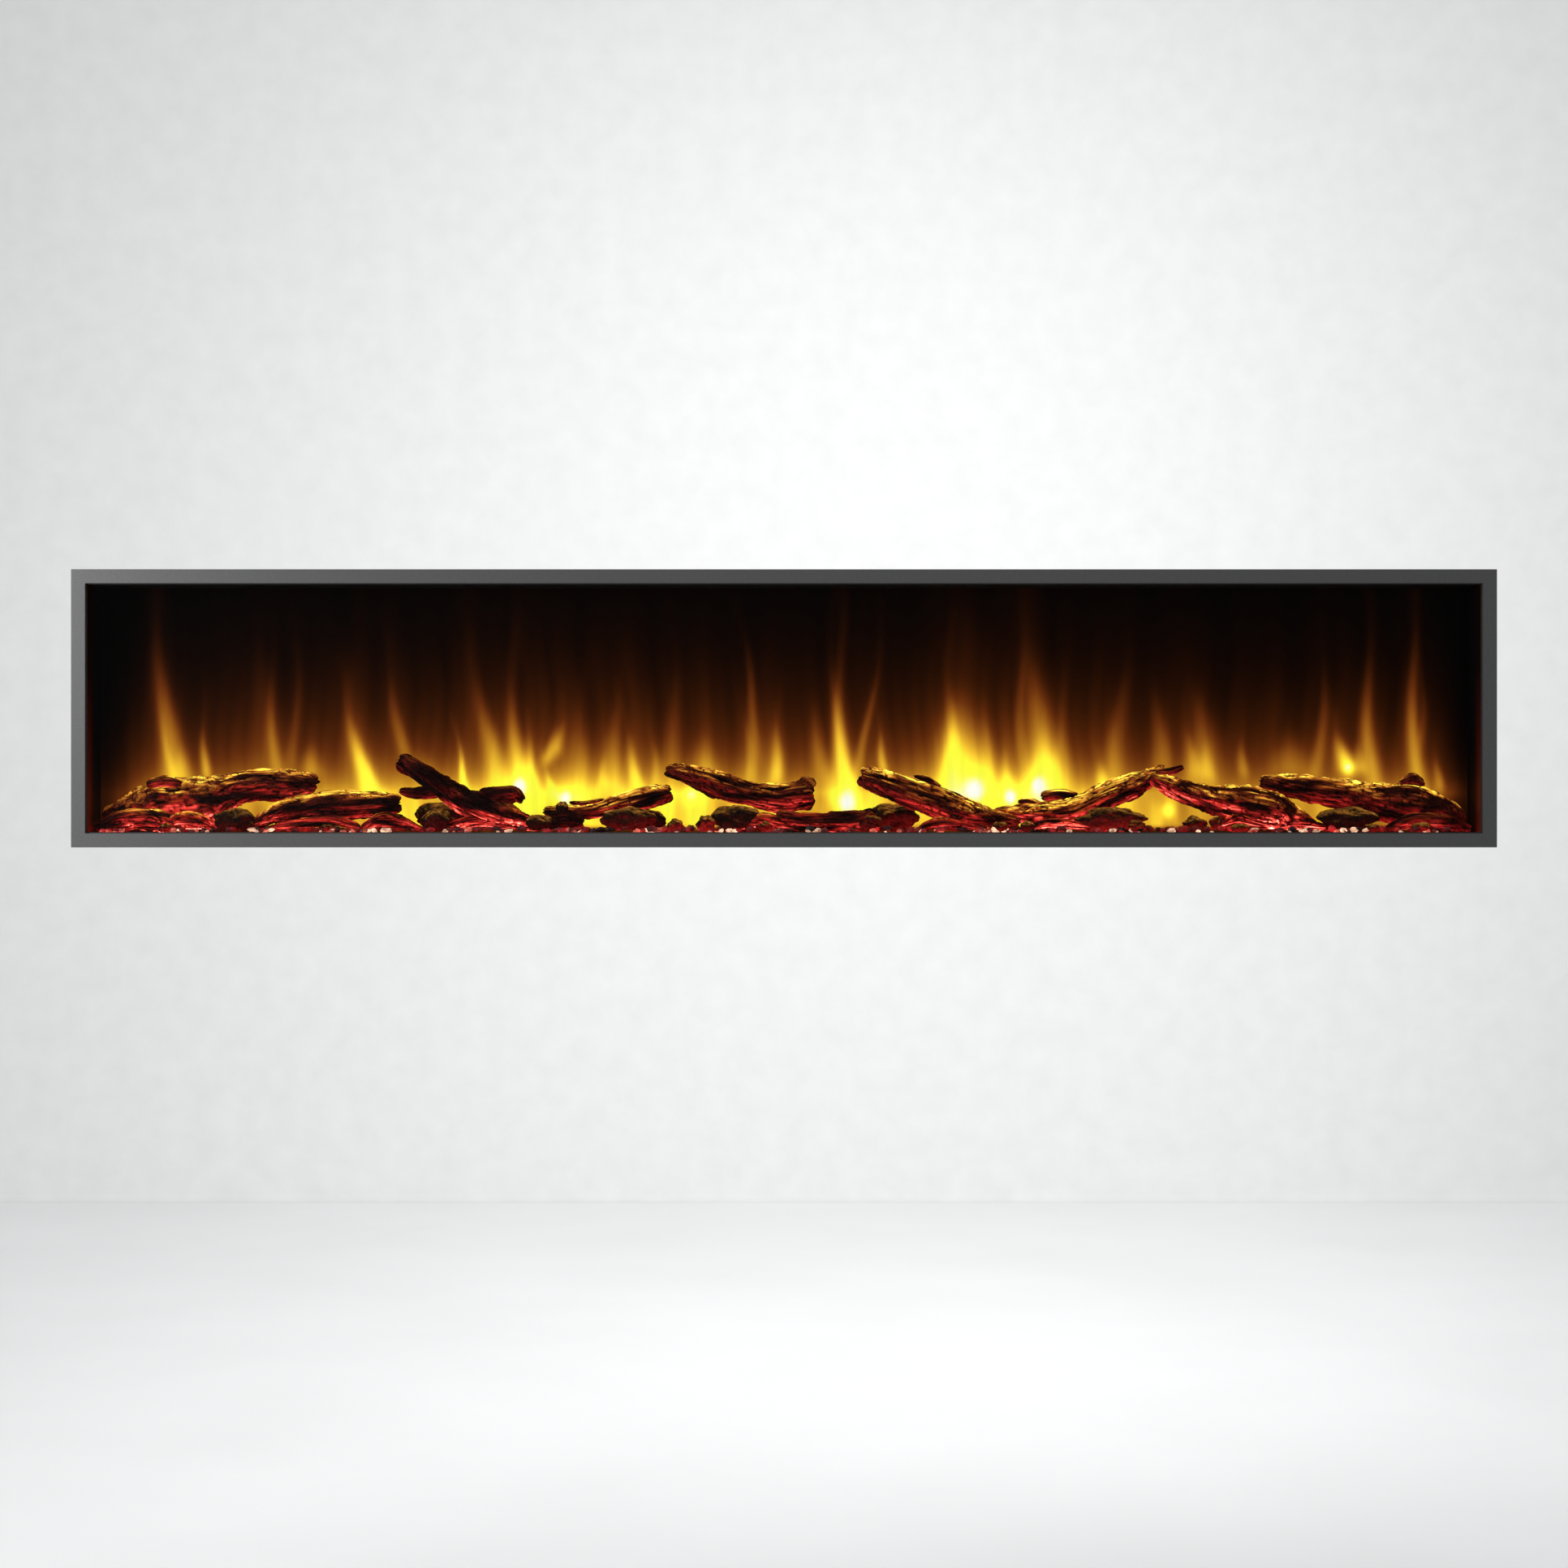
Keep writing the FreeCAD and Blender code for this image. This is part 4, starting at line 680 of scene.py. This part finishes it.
# Stones and stumps in millimetres: x, y, z, half-wide, half-high, red light on the lower side.
STONES = [
    (-975, -78, -160, 13, 13, 0.1), (-790, -116, -160, 30, 16, 0.15), (-493, -86, -155, 38, 21, 0.2),
    (-224, -116, -158, 37, 17, 0.35), (-195, -78, -160, 22, 15, 0.1), (-67, -116, -158, 38, 20, 0.15),
    (159, -86, -156, 33, 20, 0.5), (471, -116, -160, 46, 17, 0.7), (812, -116, -159, 43, 17, 0.1),
    (595, -86, -166, 17, 11, 0.4), (640, -86, -165, 21, 12, 0.5), (-500, -120, -160, 20, 16, 0.2),
    (-156, -120, -167, 11, 9, 0.8), (-112, -121, -165, 13, 12, 0.9), (-28, -121, -168, 12, 8, 0.6),
    (120, -118, -163, 20, 14, 0.3), (-350, -119, -164, 22, 12, 0.1), (505, -121, -168, 14, 8, 0.8),
    (-885, -121, -170, 12, 7, 0.9), (-655, -122, -171, 12, 6, 0.8), (310, -120, -169, 13, 8, 0.5),
    (350, -121, -169, 10, 8, 0.3), (655, -121, -171, 14, 6, 0.7), (845, -121, -171, 12, 6, 0.5),
    (-318, -119, -143, 9, 10, 0.1), (915, -120, -170, 14, 7, 0.8),
]
STONE_FRONT = -132        # no stone comes nearer to the glass than this y
BACK_ROW = -80            # stones further back than this y stand by the screen and are shallow


def stone_mesh(x, y, z, wide, high, deep, seed, rings=22, ring=40):
    """One stone in millimetres, flat where it lies: verts, faces and pits."""
    verts, faces, pits = [], [], []
    for j in range(rings + 1):
        lift = math.pi * j / rings
        for k in range(ring):
            turn = 2 * math.pi * k / ring
            way = Vector((math.sin(lift) * math.cos(turn), math.sin(lift) * math.sin(turn), math.cos(lift)))
            pit = ridge(noise.noise(way * 2.4 + Vector((0, seed, 0))), 0.10)
            swell = 0.30 * noise.noise(way * 1.5 + Vector((seed, 0, 0)))
            grow = 1 + swell + 0.10 * noise.noise(way * 5 + UP * seed) - 0.10 * pit
            verts.append((x + way.x * wide * grow, y + way.y * deep * min(grow, 1.0),
                          max(BED_LEVEL + 0.2, z + way.z * high * grow)))
            patch = noise.noise(way * 2.1 + Vector((3, 3, seed)))
            pits.append((pit, patch, noise.noise(way * 7 + UP * seed)))
    for j in range(rings):
        for k in range(ring):
            n = (k + 1) % ring
            faces.append((j * ring + k, (j + 1) * ring + k, (j + 1) * ring + n, j * ring + n))
    return verts, faces, pits


def make_stones():
    verts, faces, pits, reds = [], [], [], []
    for i, (x, y, z, wide, high, red) in enumerate(STONES):
        deep = 5 if y > BACK_ROW else min(12, y - STONE_FRONT)
        part_verts, part_faces, part_pits = stone_mesh(x, y, z, wide, high, min(deep, wide), 3.3 * i)
        first = len(verts)
        verts += part_verts
        faces += [tuple(first + v for v in face) for face in part_faces]
        pits += part_pits
        reds += [red] * len(part_verts)
    piece = mesh_object("river_stones", np.array(verts) / 1000, faces, smooth=True)
    spots = np.array(verts)
    normals = vertex_normals(piece)
    pit, patch, fine = np.array(pits).T
    # Painted light: amber from the flames on the upper sides, red from the embers on the lower sides, with
    # painted shade in the pits.
    up = smooth_step(0.25, 0.95, normals[:, 2] + 0.4 * fine) * (1 - pit)
    up = up * (0.55 + 1.3 * np.clip(patch + 0.2, 0, 1))
    low = smooth_step(0.0, 0.9, normals @ np.array((0.25, -0.55, -0.80)) + 0.7 * patch) * (1 - 0.8 * pit)
    near_bed = np.exp(-np.clip(spots[:, 2] - BED_LEVEL, 0, None) / 22)
    glow = tinted(up * flame_near(spots[:, 0]), (0.34, 0.135, 0.018))
    glow += tinted(low * near_bed * np.array(reds), (0.38, 0.010, 0.008))
    color_attribute(piece, "glow", glow)
    color_attribute(piece, "base", np.tile((0.014, 0.009, 0.006), (len(verts), 1)))
    piece.data.materials.append(glowing("river_stone", 0.75, 260, 0.55, 0.05))
    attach(piece, "root")
    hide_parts("ember_stones")


def icosahedron_corners():
    """Corners of an icosahedron whose edges are 2 long."""
    golden = (1 + math.sqrt(5)) / 2
    corners = []
    for a, b in ((-1, golden), (1, golden), (-1, -golden), (1, -golden)):
        corners += [Vector((a, b, 0)), Vector((0, a, b)), Vector((b, 0, a))]
    return corners


def icosahedron_faces(corners):
    """Every three corners at one edge's distance from each other, turned to face outwards."""
    faces = []
    for i in range(len(corners)):
        for j in range(i + 1, len(corners)):
            for k in range(j + 1, len(corners)):
                trio = [corners[n] for n in (i, j, k)]
                if all(abs((trio[p] - trio[p - 1]).length - 2) < 0.01 for p in range(3)):
                    outward = (trio[1] - trio[0]).cross(trio[2] - trio[0]).dot(trio[0]) > 0
                    faces.append((i, j, k) if outward else (i, k, j))
    return faces


CUT_CORNERS = icosahedron_corners()
CUT_FACES = icosahedron_faces(CUT_CORNERS)


def cut_stone(rng, middle, size):
    """Corners of a small stone with flat faces: an icosahedron whose corners are pushed about."""
    turn = rng.uniform(0, math.pi)
    tip = rng.uniform(-0.4, 0.4)
    placed = []
    for corner in CUT_CORNERS:
        spot = corner.normalized() * rng.uniform(0.40, 0.62)
        x = spot.x * math.cos(turn) - spot.y * math.sin(turn)
        y = spot.x * math.sin(turn) + spot.y * math.cos(turn)
        placed.append((middle[0] + x * size[0], middle[1] + y * size[1],
                       max(BED_LEVEL + 0.1, middle[2] + (spot.z + tip * x) * size[2])))
    return placed


def scatter(name, rng, spots, colors, rough, replaced=None):
    """One piece made of many cut stones, from their (middles, sizes) and the colours of their painted glow.
    """
    verts, faces, glow = [], [], []
    for middle, size, color in zip(*spots, colors):
        corners = cut_stone(rng, middle, size)
        first = len(verts)
        verts += corners
        faces += [tuple(first + v for v in side) for side in CUT_FACES]
        glow += [np.array(color) * rng.uniform(0.25, 1.35) for _ in corners]
    piece = mesh_object(name, np.array(verts) / 1000, faces)
    color_attribute(piece, "glow", np.array(glow))
    color_attribute(piece, "base", np.full((len(glow), 3), 0.05))
    piece.data.materials.append(glowing(name + "_finish", rough, 400, 0.35, 0.3))
    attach(piece, "root")
    if replaced:
        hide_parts(replaced)


def make_coals(rng):
    """Coals over the whole tray, glowing red with painted ember light."""
    places, sizes, colors = [], [], []
    for _ in range(640):
        x = rng.uniform(-988, 988)
        size = rng.uniform(7, 15)
        swell = 3 * noise.noise(Vector((x * 0.02, 1, 2)))
        places.append((x, rng.uniform(-126, -70), BED_LEVEL + 2 + size * 0.28 + swell))
        sizes.append((size, size * 0.8, size * 0.7))
        # heat sets the strength of each coal's painted red glow.
        heat = max(0.02, 0.30 + 1.6 * noise.noise(Vector((x * 0.021, 0, 7)))) * rng.uniform(0.05, 1.3)
        colors.append((0.62 * heat, 0.013 * heat, 0.013 * heat))
    scatter("ember_coals", rng, (places, sizes), colors, 0.5)


# Kinds of lit crystal: the tone at which each kind ends, and its colour in linear light.
CRYSTAL_KINDS = [(0.34, (1.20, 0.66, 0.42)), (0.56, (0.90, 0.15, 0.09)), (0.75, (0.42, 0.012, 0.010))]
DARK_CRYSTAL = (0.10, 0.006, 0.005)


def crystal_color(tone, heat):
    """Painted glow colour of a crystal: tone, from 0 to 1, picks its kind, and heat scales the lit kinds."""
    for limit, color in CRYSTAL_KINDS:
        if tone < limit:
            return tuple(part * heat for part in color)
    return DARK_CRYSTAL


def make_crystals(rng):
    """Crystals in clusters along the front edge of the tray, their pale and red glints painted on as glow."""
    places, sizes, colors = [], [], []
    for _ in range(420):
        x = rng.uniform(-985, 985)
        cluster = noise.noise(Vector((x * 0.018, 3, 1))) + 0.5 * noise.noise(Vector((x * 0.06, 8, 1)))
        size = rng.uniform(4, 12)
        tone = rng.random()
        if cluster < -0.02:
            continue
        places.append((x, rng.uniform(-128.2, -124), BED_LEVEL + 0.1 + size * rng.uniform(0.15, 0.40)))
        sizes.append((size * 1.15, size * 0.35, size * rng.uniform(0.55, 0.95)))
        colors.append(crystal_color(tone, min(1.15, 0.55 + 1.6 * max(0.0, cluster))))
    scatter("cut_crystals", rng, (places, sizes), colors, 0.15, "ember_crystals")


def make_ember_bed():
    """Coals first and then crystals, from one row of random numbers."""
    rng = random.Random(11)
    make_coals(rng)
    make_crystals(rng)


# ---------------------------------------------------------------- finishes of the CAD parts

def glass_material():
    material, _, shader = new_material("smoked_glass")
    shader.inputs["Base Color"].default_value = (0.0015, 0.0015, 0.0015, 1)
    shader.inputs["Roughness"].default_value = 0.03
    shader.inputs["IOR"].default_value = 1.08
    shader.inputs["Alpha"].default_value = 0.33
    return material


def gloss_side_material():
    """Gloss black panel with a painted reflection of the embers' red near its front edge, stronger towards
    the bottom.
    """
    material, tree, shader = new_material("gloss_black_panel")
    shader.inputs["Base Color"].default_value = (0.004, 0.003, 0.003, 1)
    shader.inputs["Roughness"].default_value = 0.3
    place = node(tree, "ShaderNodeTexCoord")
    split = node(tree, "ShaderNodeSeparateXYZ")
    tree.links.new(place.outputs["Object"], split.inputs[0])
    low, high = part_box("side_panel_left")
    near = node(tree, "ShaderNodeMapRange")
    near.inputs["From Min"].default_value = low.y + 0.030
    near.inputs["From Max"].default_value = low.y + 0.004
    near.inputs["To Max"].default_value = 1.0
    tree.links.new(split.outputs["Y"], near.inputs["Value"])
    fall = node(tree, "ShaderNodeMapRange")
    fall.inputs["From Min"].default_value = 0.06
    fall.inputs["From Max"].default_value = low.z
    fall.inputs["To Min"].default_value = 0.03
    fall.inputs["To Max"].default_value = 0.45
    tree.links.new(split.outputs["Z"], fall.inputs["Value"])
    both = node(tree, "ShaderNodeMath")
    both.operation = "MULTIPLY"
    tree.links.new(near.outputs["Result"], both.inputs[0])
    tree.links.new(fall.outputs["Result"], both.inputs[1])
    # Painted reflection of the red ember light, as emission.
    tint = node(tree, "ShaderNodeVectorMath")
    tint.operation = "SCALE"
    tint.inputs[0].default_value = (0.12, 0.008, 0.004)
    tree.links.new(both.outputs["Value"], tint.inputs["Scale"])
    tree.links.new(tint.outputs["Vector"], shader.inputs["Emission Color"])
    shader.inputs["Emission Strength"].default_value = GLASS_GAIN
    material.cycles.emission_sampling = "NONE"
    return material


def dress_frame():
    powder = surface("powder_coat", (0.040, 0.040, 0.041), 0.46, grain=900, grain_depth=0.22, tint=0.16,
                     tint_scale=420, rough_swing=0.1)
    dress(["front_trim"], powder)
    dress(["glass_panel"], glass_material())
    dress(["glass_gasket"], surface("foam_rubber", (0.008, 0.008, 0.008), 0.9, grain=1500, grain_depth=0.4))
    dress(["glass_clips"],
          surface("spring_steel", (0.5, 0.5, 0.5), 0.35, 1.0, grain=500, stretch=(0.1, 1, 1)))
    dress(["clip_screws", "front_studs", "casing_screws"],
          surface("zinc_plate", (0.62, 0.6, 0.55), 0.32, 1.0, grain=800, grain_depth=0.1))
    casing = surface("black_coat", (0.020, 0.020, 0.021), 0.5, grain=700, grain_depth=0.2, tint=0.2,
                     tint_scale=90)
    dress(["casing_top", "casing_bottom", "casing_left", "casing_right", "wall_flange"], casing)
    dress(["firebox_ceiling"], surface("heat_black", (0.006, 0.005, 0.005), 0.7, grain=500))
    dress(["side_panel_left", "side_panel_right"], gloss_side_material())
    galvanised = galvanised_material()
    dress(["casing_back", "wall_bracket_left", "wall_bracket_right", "hang_plates", "rotor_brackets",
           "heater_housing", "outlet_duct"], galvanised)


def galvanised_material():
    """Zinc-coated sheet with its patchwork of pale and dark flakes."""
    material, tree, shader = new_material("galvanised_sheet")
    shader.inputs["Metallic"].default_value = 0.9
    flakes = node(tree, "ShaderNodeTexVoronoi", Scale=240.0)
    tree.links.new(coordinates(tree), flakes.inputs["Vector"])
    split = node(tree, "ShaderNodeSeparateColor")
    tree.links.new(flakes.outputs["Color"], split.inputs["Color"])
    tone = blend_colors(tree, split.outputs["Red"], (0.42, 0.43, 0.445), (0.50, 0.51, 0.525))
    tree.links.new(tone, shader.inputs["Base Color"])
    span = node(tree, "ShaderNodeMapRange")
    span.inputs["To Min"].default_value = 0.40
    span.inputs["To Max"].default_value = 0.52
    tree.links.new(split.outputs["Green"], span.inputs["Value"])
    tree.links.new(span.outputs["Result"], shader.inputs["Roughness"])
    add_bump(tree, shader, noise_value(tree, 400, 2.0), 0.08)
    return material


def dress_inside():
    dress(["ember_tray"], surface("red_acrylic", (0.12, 0.010, 0.008), 0.35, grain=120, grain_depth=0.1))
    dress(["flame_mask"],
          surface("mask_aluminium", (0.4, 0.4, 0.41), 0.4, 1.0, grain=300, stretch=(0.05, 1, 1)))
    dress(["ember_led_strip", "flame_led_strips"],
          surface("strip_board", (0.75, 0.74, 0.7), 0.5, grain=500, grain_depth=0.05))
    dress(["rotor_left", "rotor_right"],
          surface("foil", (0.85, 0.85, 0.86), 0.18, 1.0, grain=180, grain_depth=0.35, rough_swing=0.1))
    dress(["rotor_coupler_left", "rotor_coupler_right", "stud_grommets"],
          surface("black_rubber", (0.018, 0.018, 0.018), 0.75, grain=900, grain_depth=0.25))
    dress(["rotor_motor_left", "rotor_motor_right", "blower_motor"],
          surface("motor_can", (0.45, 0.45, 0.46), 0.38, 1.0, grain=500, stretch=(1, 0.2, 1)))
    dress(["rotor_bush"], surface("acetal", (0.75, 0.73, 0.66), 0.45, grain=700, grain_depth=0.08))
    dress(["blower_wheel", "heater_element"],
          surface("formed_aluminium", (0.6, 0.61, 0.63), 0.35, 1.0, grain=400, stretch=(0.1, 1, 1)))
    dress(["control_board", "pod_board"],
          surface("circuit_board", (0.02, 0.11, 0.045), 0.35, grain=420, grain_depth=0.2, tint=0.35,
                  tint_scale=140))
    dress(["board_standoffs"], surface("brass", (0.72, 0.5, 0.2), 0.3, 1.0, grain=600))
    dress(["receiver"], surface("infrared_window", (0.015, 0.006, 0.010), 0.12, grain=300, grain_depth=0.02))
    dress(["control_pod"], surface("pod_plastic", (0.016, 0.016, 0.017), 0.55, grain=1400, grain_depth=0.35))
    dress(["button_flame", "button_heat", "button_timer"],
          surface("button_plastic", (0.16, 0.16, 0.165), 0.35, grain=900, grain_depth=0.06))
    dress(["power_rocker"],
          surface("rocker_plastic", (0.010, 0.010, 0.010), 0.2, grain=700, grain_depth=0.05))
    dress(["cable_gland"], surface("nylon", (0.020, 0.020, 0.020), 0.45, grain=900, grain_depth=0.2))


# ---------------------------------------------------------------- the whole scene

make_camera()
make_lights()
make_stage()
dress_frame()
dress_inside()
make_flame_screen()
make_logs()
make_stones()
make_ember_bed()
bpy.context.scene.view_settings.view_transform = "Standard"
